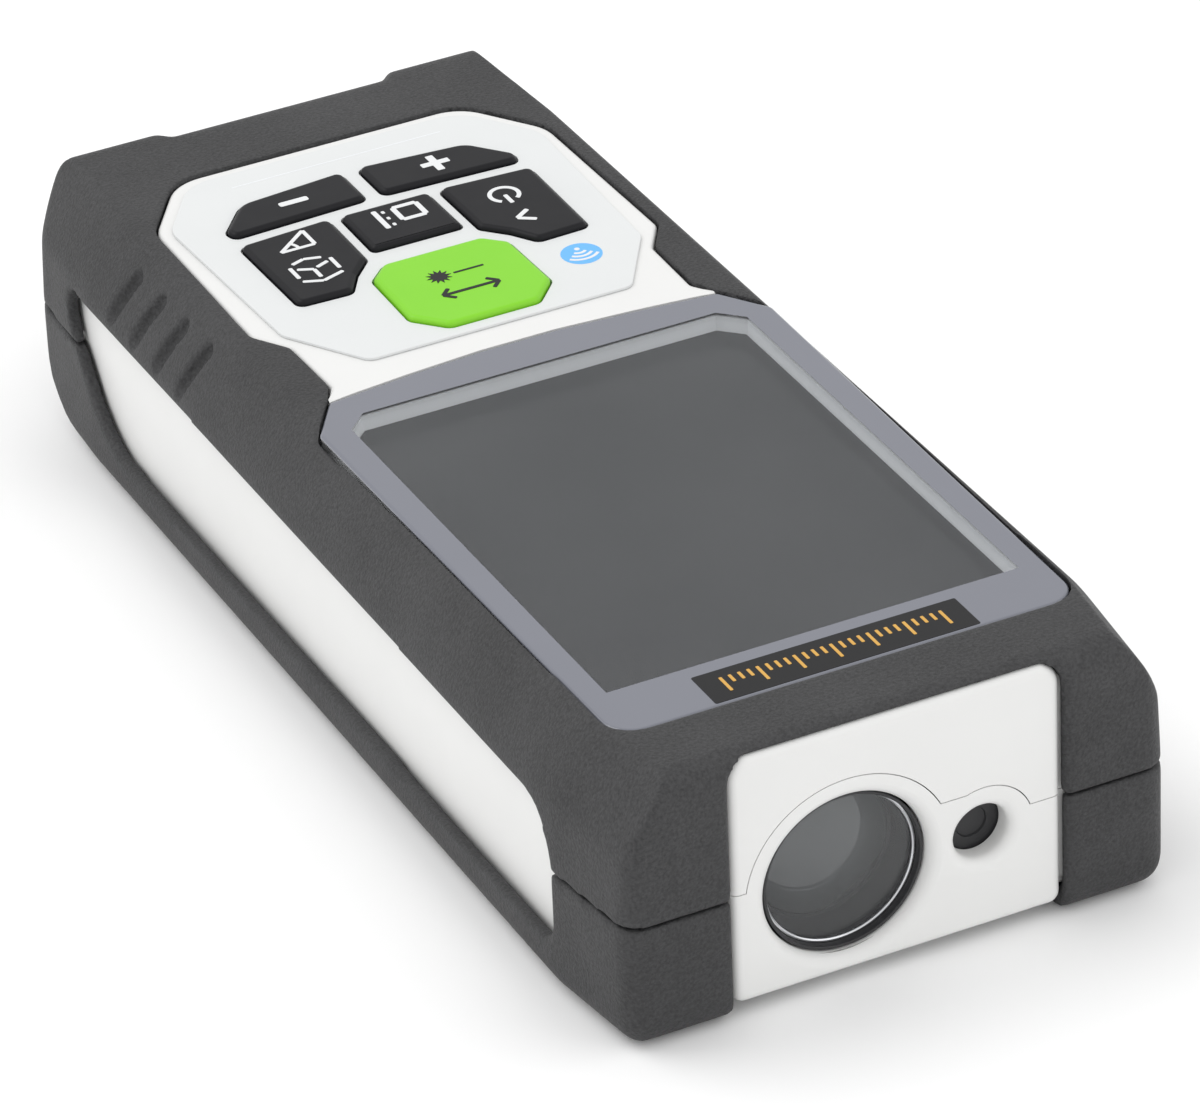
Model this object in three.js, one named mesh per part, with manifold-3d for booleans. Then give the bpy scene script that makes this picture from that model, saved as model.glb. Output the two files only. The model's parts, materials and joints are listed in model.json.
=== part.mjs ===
// Laser distance meter: a hand-held instrument lying on its back.
// Millimetres. +Z up, +Y from the lens end to the rear, origin under the middle of the base.

import * as THREE from "three";
import { mergeVertices } from "three/addons/utils/BufferGeometryUtils.js";
import Module from "manifold-3d";

const wasm = await Module();
wasm.setup();

// Driving dimensions of the body.
const bodyTop = 27.8;
const frontY = -65.4;
const rearY = 66.6;
const frontHalfWidth = 27.2;
const shoulderHalfWidth = 28.7;
const shoulderY = -53;
const rearHalfWidth = 27.9;
const baseRound = 3;
const rearBaseRound = 15;
const rearExtraRubber = 1.2;

// The side walls are drafted up to the foot of a long facet; the end walls stand upright to a round edge.
const sideWall = { topZ: 20.2, draft: 0.45, rimZ: 27, rimInset: 4.2, topInset: 5.2 };
const endWall = { topZ: 25.3, edgeRun: 2.6 };

// Thicknesses and gaps.
const rubber = 1.3;
const gap = 0.3;
const housingInset = rubber + gap;
const wall = 1.4;
const cavityInset = housingInset + wall;

// Levels, from the base up.
const bumperSplitZ = 13.1;
const housingSplitZ = 19.4;
const boardZ = 20.4;
const boardThick = 1.2;
const deckZ = 27.6;
const windowThick = 1.2;
const filmThick = 0.25;
const keyTopZ = 28.4;
const keyFootZ = 24.9;
const keyTravel = 0.4;

// Optics, looking into the lens end.
const faceHalfWidth = 16.6;
const faceY = -64.7;
const lens = { x: -4.9, z: 11.4, r: 8.2, seam: 10.4 };
const emitter = { x: 8.7, z: 11.4, r: 3.3, seam: 5 };
const carrierFront = -51.5;
const carrierRear = -37;

// Display.
const clearHalfWidth = 20.8;
const clearFront = -49.8;
const clearRear = 5;

// Battery bay: three AAA cells side by side.
const cellRadius = 5.25;
const cellLength = 44.5;
const cellFront = 5.2;
const cellZ = 8;
const cellPitch = 11.2;
const doorHalfWidth = 16.9;
const doorFront = 2.5;
const doorRear = 51.4;

// ---- outlines -------------------------------------------------------------------------------

// A closed outline from corners [x, y, radius]; a rounded corner becomes an arc of several steps.
function outline(corners, steps = 4) {
  const points = [];
  corners.forEach(([x, y, r = 0], i) => {
    const here = new THREE.Vector2(x, y);
    if (!r) {
      points.push(here);
      return;
    }
    const [bx, by] = corners.at(i - 1);
    const [ax, ay] = corners[(i + 1) % corners.length];
    const back = new THREE.Vector2(bx, by).sub(here).normalize();
    const ahead = new THREE.Vector2(ax, ay).sub(here).normalize();
    const half = Math.acos(THREE.MathUtils.clamp(back.dot(ahead), -1, 1)) / 2;
    const centre = here.clone().addScaledVector(back.clone().add(ahead).normalize(), r / Math.sin(half));
    const from = here.clone().addScaledVector(back, r / Math.tan(half)).sub(centre);
    const to = here.clone().addScaledVector(ahead, r / Math.tan(half)).sub(centre);
    const sweep = Math.atan2(from.cross(to), from.dot(to));
    for (let k = 0; k <= steps; k++) {
      const turned = from.clone().rotateAround(new THREE.Vector2(), (sweep * k) / steps);
      points.push(turned.add(centre));
    }
  });
  return points;
}

// Corners given for x > 0, from the lens end to the rear, are repeated in mirror image for x < 0.
function mirrored(half) {
  return [...half, ...half.map(([x, y, r]) => [-x, y, r]).reverse()];
}

// Moves the sides of an outline's corner list inwards: by d, or by endD where a side faces along Y.
function inset(corners, d, endD = d) {
  return corners.map(([x, y, r = 0], i) => {
    const here = new THREE.Vector2(x, y);
    const [bx, by] = corners.at(i - 1);
    const [ax, ay] = corners[(i + 1) % corners.length];
    const before = here.clone().sub(new THREE.Vector2(bx, by)).normalize();
    const after = new THREE.Vector2(ax, ay).sub(here).normalize();
    const d1 = Math.abs(before.x) > 0.9 ? endD : d;
    const d2 = Math.abs(after.x) > 0.9 ? endD : d;
    const n1 = new THREE.Vector2(-before.y, before.x);
    const n2 = new THREE.Vector2(-after.y, after.x);
    const cross = n1.cross(n2);
    const move = Math.abs(cross) < 1e-6
      ? n1.clone().multiplyScalar(d1)
      : new THREE.Vector2(d1 * n2.y - d2 * n1.y, d2 * n1.x - d1 * n2.x).divideScalar(cross);
    return [x + move.x, y + move.y, r && Math.max(r - d, 0.3)];
  });
}

// ---- solids ---------------------------------------------------------------------------------

function toSolid(geometry) {
  const plain = new THREE.BufferGeometry();
  const flat = geometry.index ? geometry.toNonIndexed() : geometry;
  plain.setAttribute("position", flat.getAttribute("position"));
  const merged = mergeVertices(plain, 1e-4);
  return new wasm.Manifold(
    new wasm.Mesh({
      numProp: 3,
      vertProperties: merged.attributes.position.array,
      triVerts: new Uint32Array(merged.index.array),
    }),
  );
}

function toGeometry(solid) {
  const made = solid.getMesh();
  const geometry = new THREE.BufferGeometry();
  geometry.setAttribute("position", new THREE.BufferAttribute(made.vertProperties, 3));
  geometry.setIndex(new THREE.BufferAttribute(made.triVerts, 1));
  const faceted = geometry.toNonIndexed();
  faceted.computeVertexNormals();
  return faceted;
}

const cut = (solid, ...tools) => tools.reduce((left, tool) => left.subtract(tool), solid);
const join = (solid, ...others) => others.reduce((sum, other) => sum.add(other), solid);

// A prism along Z between two heights.
function slab(points, low, high) {
  const geometry = new THREE.ExtrudeGeometry(new THREE.Shape(points), {
    depth: high - low,
    bevelEnabled: false,
  });
  return toSolid(geometry.translate(0, 0, low));
}

// A prism whose outline is drawn in Y (across) and Z (up), and which runs along X.
function sideSlab(points, low, high) {
  const geometry = new THREE.ExtrudeGeometry(new THREE.Shape(points), {
    depth: high - low,
    bevelEnabled: false,
  });
  geometry.translate(0, 0, low);
  geometry.applyMatrix4(new THREE.Matrix4().set(0, 0, 1, 0, 1, 0, 0, 0, 0, 1, 0, 0, 0, 0, 0, 1));
  return toSolid(geometry);
}

function box(x0, x1, y0, y1, z0, z1) {
  const geometry = new THREE.BoxGeometry(x1 - x0, y1 - y0, z1 - z0);
  return toSolid(geometry.translate((x0 + x1) / 2, (y0 + y1) / 2, (z0 + z1) / 2));
}

// A body of revolution about a line along Y through (x, z): its profile is [radius, y] pairs.
function turnedY(profile, x, z, sides = 16) {
  const points = profile.map(([r, y]) => new THREE.Vector2(r, y));
  return toSolid(new THREE.LatheGeometry(points, sides).translate(x, 0, z));
}

// A prism whose outline is drawn in X (across) and Z (up), and which runs along Y.
function frontSlab(points, low, high) {
  const geometry = new THREE.ExtrudeGeometry(new THREE.Shape(points), {
    depth: high - low,
    bevelEnabled: false,
  });
  return toSolid(geometry.rotateX(Math.PI / 2).translate(0, high, 0));
}

// The same about a line along Z through (x, y): its profile is [radius, z] pairs.
function turnedZ(profile, x, y, sides = 12) {
  const points = profile.map(([r, z]) => new THREE.Vector2(r, z));
  return toSolid(new THREE.LatheGeometry(points, sides).rotateX(Math.PI / 2).translate(x, y, 0));
}

const rod = (r, low, high) => [[0, low], [r, low], [r, high], [0, high]];
const tube = (inner, outer, low, high) => [[inner, low], [outer, low], [outer, high], [inner, high], [inner, low]];

// Closes a pile of outlines of equal point counts, one above another, into a solid.
function stack(rings) {
  const count = rings[0].points.length;
  const at = (ring, k) => {
    const p = rings[ring].points[k % count];
    return [p.x, p.y, rings[ring].z];
  };
  const triangles = [];
  for (let ring = 0; ring + 1 < rings.length; ring++) {
    for (let k = 0; k < count; k++) {
      triangles.push(at(ring, k), at(ring, k + 1), at(ring + 1, k + 1));
      triangles.push(at(ring, k), at(ring + 1, k + 1), at(ring + 1, k));
    }
  }
  const last = rings.length - 1;
  for (let k = 1; k + 1 < count; k++) {
    triangles.push(at(0, 0), at(0, k + 1), at(0, k));
    triangles.push(at(last, 0), at(last, k), at(last, k + 1));
  }
  const geometry = new THREE.BufferGeometry();
  geometry.setAttribute("position", new THREE.Float32BufferAttribute(triangles.flat(), 3));
  return toSolid(geometry);
}

// ---- the body's form ------------------------------------------------------------------------

const planTo = (endY) => mirrored([
  [frontHalfWidth, frontY, 2.4],
  [shoulderHalfWidth, shoulderY, 16],
  [rearHalfWidth, 51, 24],
  [rearHalfWidth - 0.9, endY, 4.5],
]);

// How far the round foot of any wall stands in at a height.
function footInset(z) {
  return z < baseRound ? baseRound - Math.sqrt(baseRound ** 2 - (baseRound - z) ** 2) : 0;
}

// The inset of a side wall: foot, drafted wall, slightly crowned facet and rim.
function sideInset(z) {
  const { topZ, draft, rimZ, rimInset, topInset } = sideWall;
  if (z <= topZ) {
    return footInset(z) + draft * Math.max(0, (z - bumperSplitZ) / (topZ - bumperSplitZ));
  }
  if (z <= rimZ) {
    const t = (z - topZ) / (rimZ - topZ);
    return draft + (rimInset - draft) * t - 1.4 * t * (1 - t);
  }
  return rimInset + ((topInset - rimInset) * (z - rimZ)) / (bodyTop - rimZ);
}

// The inset of an end wall: foot, upright wall and a quarter-round top edge.
function endInset(z) {
  const { topZ, edgeRun } = endWall;
  if (z <= topZ) {
    return footInset(z);
  }
  const up = (z - topZ) / (bodyTop - topZ);
  return edgeRun * (1 - Math.sqrt(Math.max(1 - up * up, 0)));
}

// Heights of the form's rings, as the outermost form has them.
const formLevels = [0, 0.5, 1.4, baseRound, bumperSplitZ, sideWall.topZ, 22.5, 25.3, 26.4, 27, 27.5, bodyTop];

// The body's outer form, taken in by d on every side.
function form(d) {
  const middle = bodyTop / 2;
  const squeeze = (bodyTop - 2 * d) / bodyTop;
  const endY = rearY - (d ? rearExtraRubber : 0);
  const rings = formLevels.map((z) => ({
    z: middle + (z - middle) * squeeze,
    points: outline(inset(planTo(endY), d + sideInset(z), d + endInset(z)), 3),
  }));
  const low = d;
  const high = bodyTop - d + 1;
  const side = outline([
    [frontY + d - 1, low],
    [endY - d, low, rearBaseRound - d],
    [endY - d + 3, high],
    [frontY + d - 1, high],
  ], 7);
  return stack(rings).intersect(sideSlab(side, -40, 40));
}

const outerForm = form(0);
const underRubber = form(rubber);
const housingForm = form(housingInset);
const cavity = form(cavityInset);

// ---- openings in the body -------------------------------------------------------------------

// The white deck and the window fill one opening in the rubber; this is its outline.
const deckOutline = mirrored([
  [20.4, 8.4],
  [19.1, 11.1, 1],
  [19.3, 19.4, 1],
  [21.7, 23.2, 1.5],
  [21.3, 46.5, 5],
  [15.6, 54.9, 5],
]);

const windowOutline = mirrored([
  [23.3, -56.7, 3],
  [23.8, 3.4, 1],
  [20.5, 8.4, 0.6],
  [12, 9.3],
  [4, 9.9],
]);

const topOpening = join(
  slab(outline(inset(deckOutline, -gap), 3), 20, 40),
  slab(outline(inset(windowOutline, -gap), 3), 20, 40),
);

// The long windows in the rubber on each side show the white housing.
const panelOutline = outline([
  [-52.9, 5.1, 2.4],
  [46.5, 5.1, 12],
  [56.6, 16, 3],
  [55.4, 18.8, 1.5],
  [-52.9, 18.8, 6],
], 5);

const panelOpening = join(sideSlab(panelOutline, -40, -20), sideSlab(panelOutline, 20, 40));

// The white front face shows through an opening with rounded upper corners, open at the base.
const faceOutline = (grow) => outline([
  [-faceHalfWidth - grow, -5],
  [faceHalfWidth + grow, -5],
  [faceHalfWidth + grow, 27.1 + grow, 2.2 + grow],
  [-faceHalfWidth - grow, 27.1 + grow, 2.2 + grow],
]);

const faceOpening = frontSlab(faceOutline(gap), -80, -62.4);

const doorOpening = box(-doorHalfWidth - gap, doorHalfWidth + gap, doorFront - 0.4, doorRear + gap, -5, 3.6);

const screwSpots = [[-20.5, -56.2], [20.5, -56.2], [-20.5, 54.5], [20.5, 54.5]];

// ---- rubber bumpers -------------------------------------------------------------------------

const gripCount = 4;
const gripFirstY = 44;
const gripPitch = 5.5;
const gripWide = 1.5;

// One slanted grip groove over the shoulder of the body on the side given by sign.
function gripGroove(sign, y) {
  const bar = new THREE.BoxGeometry(2, gripWide, 7);
  bar.rotateX(0.36);
  bar.rotateY(sign * -0.5);
  return toSolid(bar.translate(sign * 26.4, y, 23.2));
}

function makeUpperBumper() {
  const grooves = [];
  for (let i = 0; i < gripCount; i++) {
    grooves.push(gripGroove(1, gripFirstY - i * gripPitch), gripGroove(-1, gripFirstY - i * gripPitch));
  }
  const rearScoop = box(-12.4, 12.4, rearY - 1.3, rearY + 5, 22, 40);
  const shell = outerForm.intersect(box(-40, 40, -80, 80, bumperSplitZ + gap / 2, 40));
  return cut(shell, underRubber, topOpening, panelOpening, faceOpening, rearScoop, ...grooves);
}

function makeLowerBumper() {
  const shell = outerForm.intersect(box(-40, 40, -80, 80, -5, bumperSplitZ - gap / 2));
  const screwHoles = screwSpots.map(([x, y]) => turnedZ(rod(2.9, -5, 5), x, y));
  return cut(shell, underRubber, panelOpening, faceOpening, doorOpening, ...screwHoles);
}

// ---- white housing --------------------------------------------------------------------------

// The lower housing's share of the space: it rises round the lens and the emitter at the front.
function lowerZone(grow) {
  return join(
    box(-40, 40, -61.5, 80, -5, housingSplitZ + grow),
    box(-40, 40, -80, -61.5, -5, bumperSplitZ + grow),
    turnedY(rod(lens.seam + grow, -80, -61.5), lens.x, lens.z, 32),
    turnedY(rod(emitter.seam + grow, -80, -61.5), emitter.x, emitter.z),
    box(lens.x, emitter.x, -80, -61.5, -5, emitter.z + emitter.seam - 0.3 + grow),
  );
}

const faceSide = outline([
  [faceY, 1.5, 0.8],
  [-62.7, 1.5],
  [-62.7, 26.9],
  [faceY, 26.9, 1.9],
], 4);

const faceBlock = sideSlab(faceSide, -40, 40).intersect(frontSlab(faceOutline(0), -80, 0));

const lensBore = turnedY(rod(lens.r, -80, carrierFront + gap), lens.x, lens.z, 32);
const emitterBore = turnedY(rod(emitter.r, -80, -60), emitter.x, emitter.z, 20);

const screwBosses = (r, low, high) => screwSpots.map(([x, y]) => turnedZ(rod(r, low, high), x, y));

function makeLowerHousing() {
  const shell = cut(join(housingForm, faceBlock), cavity);
  const bossed = join(shell, ...screwBosses(3, 3, housingSplitZ - gap));
  const bored = cut(bossed, ...screwBosses(2.6, -5, 3.1), ...screwBosses(1.5, 0, 40));
  return cut(bored, lensBore, emitterBore, doorOpening).intersect(lowerZone(-gap / 2));
}

const boardScrewSpots = [[-20.2, 12], [20.2, 12]];

function makeUpperHousing(keys) {
  const deck = slab(outline(deckOutline, 3), 25.6, deckZ);
  const shell = join(cut(join(housingForm, faceBlock), cavity), deck);
  const bosses = [
    ...screwBosses(3, housingSplitZ + gap, 25),
    ...boardScrewSpots.map(([x, y]) => turnedZ(rod(1.9, boardZ + boardThick + gap, 25.5), x, y)),
  ];
  const bores = [
    ...screwBosses(1.4, 0, 24),
    ...boardScrewSpots.map(([x, y]) => turnedZ(rod(1.4, 10, 24), x, y)),
  ];
  const displayOpening = box(-21.6, 21.6, clearFront - 1.2, clearRear + 1.4, 20, 40);
  const keyPocket = slab(outline(inset(filmOutline, 0.8), 3), 20, 25.9);
  const windowSeat = slab(outline(inset(windowOutline, -gap), 3), deckZ - windowThick - gap, 40);
  const holes = keys.map(({ corners }) => slab(outline(inset(corners, -gap), 3), 20, 40));
  const whole = join(cut(shell, displayOpening, keyPocket, windowSeat), join(...bosses).intersect(housingForm));
  return cut(whole, lowerZone(gap / 2), lensBore, emitterBore, ...bores, ...holes);
}

// ---- display --------------------------------------------------------------------------------

const makeWindow = () => slab(outline(windowOutline, 3), deckZ - windowThick, deckZ);

const makeLcd = () => box(-21.3, 21.3, clearFront - 0.9, clearRear + 1.1, 21.9, 25.1);

function makeLcdFrame() {
  const ring = box(-21.3, 21.3, clearFront - 0.9, clearRear + 1.1, 25.3, 26.1);
  const clear = outline([
    [-clearHalfWidth, clearFront],
    [clearHalfWidth, clearFront],
    [clearHalfWidth, clearRear, 2.5],
    [-clearHalfWidth, clearRear, 2.5],
  ], 2);
  return cut(ring, slab(clear, 20, 30));
}

// ---- keypad ---------------------------------------------------------------------------------

const filmOutline = mirrored([
  [13.9, 13.3, 1.5],
  [19.2, 21.7, 2],
  [20.1, 45.6, 4],
  [14.8, 53.4, 5],
]);

const plusCorners = [
  [0.95, 41.5, 0.8],
  [15.3, 40.9, 0.8],
  [15.6, 42.3, 1],
  [12.2, 46.5, 2.5],
  [0.95, 47.5, 0.8],
];

const clearCorners = [
  [8.3, 28.2],
  [10, 25.5, 0.9],
  [15.5, 25.7, 0.8],
  [15.7, 38.9, 0.8],
  [6, 39.5, 0.8],
  [6.1, 30.6, 0.8],
];

const mirrorCorners = (corners) => corners.map(([x, y, r]) => [-x, y, r]).reverse();

const keys = [
  { name: "key_plus", corners: plusCorners, colour: 0x37393b, pad: [8, 44] },
  { name: "key_minus", corners: mirrorCorners(plusCorners), colour: 0x37393b, pad: [-8, 44] },
  { name: "key_clear_off", corners: clearCorners, colour: 0x37393b, pad: [11, 33] },
  { name: "key_angle", corners: mirrorCorners(clearCorners), colour: 0x37393b, pad: [-11, 33] },
  {
    name: "key_reference",
    corners: [[-4.8, 31.7, 0.5], [4.8, 31.7, 0.5], [4.7, 39.4, 0.7], [-4.7, 39.4, 0.7]],
    colour: 0x37393b,
    pad: [0, 35.5],
  },
  {
    name: "key_measure",
    corners: mirrored([[4.7, 14.8, 1.2], [7.5, 17.9, 1], [7.3, 26.5, 1], [5.2, 28.6, 1.2]]),
    colour: 0x96e641,
    pad: [0, 21.5],
  },
];

// A key cap with a flange under the deck that keeps it in.
function makeKey({ corners }) {
  const cap = slab(outline(corners, 3), keyFootZ, keyTopZ);
  const flange = slab(outline(inset(corners, -0.6), 2), keyFootZ, keyFootZ + 0.6);
  return join(cap, flange);
}

function makeFilm() {
  const holes = keys.map(({ corners }) => slab(outline(inset(corners, -gap), 3), 20, 40));
  return cut(slab(outline(filmOutline, 3), deckZ + 0.05, deckZ + 0.05 + filmThick), ...holes);
}

// The contact mat under the keys: a sheet with one low dome for each key.
function makeKeyMat() {
  const sheet = box(-17.4, 17.4, 13.6, 50, boardZ + boardThick + gap, 23.6);
  const domes = keys.map(({ pad }) => turnedZ(rod(2.2, 23, keyFootZ - keyTravel - 0.05), ...pad));
  return join(sheet, ...domes);
}

// ---- electronics ----------------------------------------------------------------------------

function makeMainBoard() {
  const corners = mirrored([[18, -36, 1], [20.8, -32, 1], [21.4, 47.6, 1], [18, 50.8, 1]]);
  const holes = boardScrewSpots.map(([x, y]) => turnedZ(rod(1.5, 10, 30), x, y));
  return cut(slab(outline(corners, 2), boardZ, boardZ + boardThick), ...holes);
}

const makeDetectorBoard = () => box(-14, 7, -36.6, -35.4, 4, 19.6);
const makeRadioModule = () => box(-17, -6, -20, -6, 17.8, boardZ - gap);
const makeBuzzer = () => turnedZ([[0, 15.6], [5.6, 15.6], [6, 16], [6, 20.1], [0, 20.1]], 12, -12);

// ---- optics ---------------------------------------------------------------------------------

function makeOpticsCarrier() {
  const block = box(-15, 14, carrierFront, carrierRear, 3.3, 19.8);
  const lightWay = turnedY([[0, -60], [7.2, -60], [7.2, -51], [2, -38], [2, -30], [0, -30]], lens.x, lens.z);
  const laserWay = turnedY(rod(3.3, -60, -30), emitter.x, emitter.z);
  return cut(block, lightWay, laserWay);
}

const makeBarrel = () => turnedY(tube(7.2, 7.9, -63.8, carrierFront - gap), lens.x, lens.z, 28);
const makeLensRing = () => turnedY(tube(6.3, 6.8, -62.6, -61.9), lens.x, lens.z, 28);

function makeReceiverLens() {
  const profile = [[0, -61.7], [3, -61.5], [5, -61], [6.8, -60.2], [6.8, -58.6], [0, -58.2]];
  return turnedY(profile, lens.x, lens.z, 24);
}

const makeLaserWindow = () => turnedY(rod(3.7, -62.1, -61.4), emitter.x, emitter.z);

function makeLaserModule() {
  const profile = [[0, -60.8], [2.2, -60.8], [2.9, -60], [2.9, -42], [1.6, -42], [1.6, -39], [0, -39]];
  return turnedY(profile, emitter.x, emitter.z);
}

// ---- power ----------------------------------------------------------------------------------

const cellSpots = [-cellPitch, 0, cellPitch];

function makeBatteryTray() {
  const block = box(-17.6, 17.6, doorFront - 0.7, doorRear + 1, 3.3, 14.4);
  const bays = cellSpots.map((x) => join(
    turnedY(rod(cellRadius + 0.3, doorFront + 0.1, doorRear), x, cellZ),
    box(x - cellRadius - 0.1, x + cellRadius + 0.1, doorFront + 0.1, doorRear, 0, cellZ),
  ));
  return cut(block, ...bays);
}

function makeCell(x) {
  const rear = cellFront + cellLength;
  const profile = [[0, cellFront], [cellRadius - 0.4, cellFront], [cellRadius, cellFront + 0.4],
    [cellRadius, rear - 1.2], [cellRadius - 0.4, rear - 0.9], [1.9, rear - 0.9], [1.9, rear], [0, rear]];
  return turnedY(profile, x, cellZ, 20);
}

const makeContact = (x) => box(x - 3.5, x + 3.5, doorRear - 1.2, doorRear - 0.7, 4.6, 12);

// A coiled contact spring that presses on the flat end of a cell.
class SpringLine extends THREE.Curve {
  getPoint(t, target = new THREE.Vector3()) {
    const angle = t * 2.5 * 2 * Math.PI;
    const radius = 3.6 - 1.6 * t;
    return target.set(radius * Math.cos(angle), doorFront + 0.7 + 1.6 * t, radius * Math.sin(angle));
  }
}

function makeSpring(x) {
  const wire = outline([[-0.25, -0.25], [0.25, -0.25], [0.25, 0.25], [-0.25, 0.25]]);
  const geometry = new THREE.ExtrudeGeometry(new THREE.Shape(wire), {
    steps: 26,
    extrudePath: new SpringLine(),
  });
  return toSolid(geometry.translate(x, 0, cellZ));
}

const hingeY = doorFront + 0.7;
const hingeZ = 0.9;

function makeDoor() {
  const corners = [[-doorHalfWidth, doorFront, 0.8], [doorHalfWidth, doorFront, 0.8],
    [doorHalfWidth, doorRear, 1.5], [-doorHalfWidth, doorRear, 1.5]];
  const plate = slab(outline(corners, 3), hingeZ - 0.6, hingeZ + 0.9);
  const thumbRib = (y) => box(-5, 5, y, y + 0.8, hingeZ - 0.8, hingeZ - 0.3);
  return join(plate, thumbRib(43), thumbRib(45), thumbRib(47));
}

function makeDoorGasket() {
  const outer = box(-15.9, 15.9, doorFront + 2.9, doorRear - 1, hingeZ + 1, hingeZ + 1.5);
  return cut(outer, box(-15, 15, doorFront + 3.8, doorRear - 1.9, 0, 5));
}

// ---- fasteners ------------------------------------------------------------------------------

const makeHousingScrew = ([x, y]) => turnedZ([[0, 1.7], [2.2, 1.7], [2.2, 2.8], [1.1, 2.8], [1.1, 23], [0, 23]], x, y);

function makeBoardScrew([x, y]) {
  const profile = [[0, 18.9], [1.9, 18.9], [1.9, 20.1], [1.1, 20.1], [1.1, 23.5], [0, 23.5]];
  return turnedZ(profile, x, y);
}

// ---- assembly -------------------------------------------------------------------------------

const white = { color: 0xeceae6, roughness: 0.42, metalness: 0 };
const black = { color: 0x3a3b3d, roughness: 0.78, metalness: 0 };
const darkPlastic = { color: 0x202123, roughness: 0.5, metalness: 0 };
const steel = { color: 0xb8bbbf, roughness: 0.3, metalness: 1 };
const greenBoard = { color: 0x1f5a3a, roughness: 0.5, metalness: 0.1 };
const glass = { color: 0x20262b, roughness: 0.05, metalness: 0 };

const group = new THREE.Group();

// Pieces are laid out from the lens end; the group's origin is under the middle of the whole length.
function place(parent, name, solid, look) {
  const centred = solid.translate([0, -(frontY + rearY) / 2, 0]);
  const mesh = new THREE.Mesh(toGeometry(centred), new THREE.MeshStandardMaterial(look));
  mesh.name = name;
  parent.add(mesh);
}

function branch(name) {
  const made = new THREE.Group();
  made.name = name;
  group.add(made);
  return made;
}

const casing = branch("casing");
place(casing, "lower_housing", makeLowerHousing(), white);
place(casing, "upper_housing", makeUpperHousing(keys), white);
place(casing, "lower_bumper", makeLowerBumper(), black);
place(casing, "upper_bumper", makeUpperBumper(), black);
screwSpots.forEach((spot, i) => place(casing, `housing_screw_${i + 1}`, makeHousingScrew(spot), steel));

const display = branch("display");
place(display, "display_window", makeWindow(), { color: 0x80828c, roughness: 0.12, metalness: 0 });
place(display, "lcd_frame", makeLcdFrame(), { color: 0xb0b4b8, roughness: 0.5, metalness: 0 });
place(display, "lcd_module", makeLcd(), { color: 0x54585a, roughness: 0.2, metalness: 0 });

const keypad = branch("keypad");
place(keypad, "keypad_film", makeFilm(), { color: 0xf0efec, roughness: 0.35, metalness: 0 });
keys.forEach((key) => place(keypad, key.name, makeKey(key), { color: key.colour, roughness: 0.45, metalness: 0 }));
place(keypad, "key_mat", makeKeyMat(), { color: 0x9a9c9e, roughness: 0.7, metalness: 0 });

const electronics = branch("electronics");
place(electronics, "main_board", makeMainBoard(), greenBoard);
place(electronics, "detector_board", makeDetectorBoard(), greenBoard);
place(electronics, "radio_module", makeRadioModule(), steel);
place(electronics, "buzzer", makeBuzzer(), darkPlastic);
boardScrewSpots.forEach((spot, i) => place(electronics, `board_screw_${i + 1}`, makeBoardScrew(spot), steel));

const optics = branch("optics");
place(optics, "optics_carrier", makeOpticsCarrier(), darkPlastic);
place(optics, "lens_barrel", makeBarrel(), darkPlastic);
place(optics, "lens_ring", makeLensRing(), steel);
place(optics, "receiver_lens", makeReceiverLens(), glass);
place(optics, "laser_window", makeLaserWindow(), glass);
place(optics, "laser_module", makeLaserModule(), { color: 0xb08d4a, roughness: 0.35, metalness: 1 });

const power = branch("power");
place(power, "battery_tray", makeBatteryTray(), darkPlastic);
cellSpots.forEach((x, i) => {
  place(power, `battery_${i + 1}`, makeCell(x), { color: 0x3a6ea5, roughness: 0.4, metalness: 0.2 });
  place(power, `battery_spring_${i + 1}`, makeSpring(x), steel);
  place(power, `battery_contact_${i + 1}`, makeContact(x), steel);
});
place(power, "battery_door", makeDoor(), black);
place(power, "door_gasket", makeDoorGasket(), { color: 0x8a3b2a, roughness: 0.8, metalness: 0 });

export default group;
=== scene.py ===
import json
import math
import bmesh
import bpy
import numpy as np
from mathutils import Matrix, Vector


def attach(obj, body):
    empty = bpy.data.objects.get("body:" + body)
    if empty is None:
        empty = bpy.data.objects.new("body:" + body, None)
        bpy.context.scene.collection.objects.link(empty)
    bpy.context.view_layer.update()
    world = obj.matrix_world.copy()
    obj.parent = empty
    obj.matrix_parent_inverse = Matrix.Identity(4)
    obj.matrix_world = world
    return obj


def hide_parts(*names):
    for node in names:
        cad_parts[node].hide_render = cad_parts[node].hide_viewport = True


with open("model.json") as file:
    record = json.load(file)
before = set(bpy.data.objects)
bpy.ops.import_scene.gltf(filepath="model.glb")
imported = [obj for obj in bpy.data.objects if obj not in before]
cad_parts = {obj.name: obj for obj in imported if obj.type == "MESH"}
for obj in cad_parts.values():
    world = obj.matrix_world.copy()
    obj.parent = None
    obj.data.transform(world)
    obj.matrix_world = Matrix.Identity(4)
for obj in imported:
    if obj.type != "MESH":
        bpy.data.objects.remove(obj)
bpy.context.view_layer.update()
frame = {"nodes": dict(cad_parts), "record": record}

mm = 0.001
# The layout's y = 0 is 0.6 mm from mid-length, towards the lens end. The object's origin is at mid-length.
layoutShift = np.array([0.0, -0.6, 0.0])
# Cutting solids run out to here, past the body on every side.
pastX, pastY, below, above = 40, 80, -5, 40
scene = bpy.context.scene


# Corners are (x, y, radius), and a corner without a radius is sharp.
def cornerArrays(corners):
    c = np.array([(tuple(k) + (0.0,))[:3] for k in corners], float)
    return c[:, :2], c[:, 2]


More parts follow.
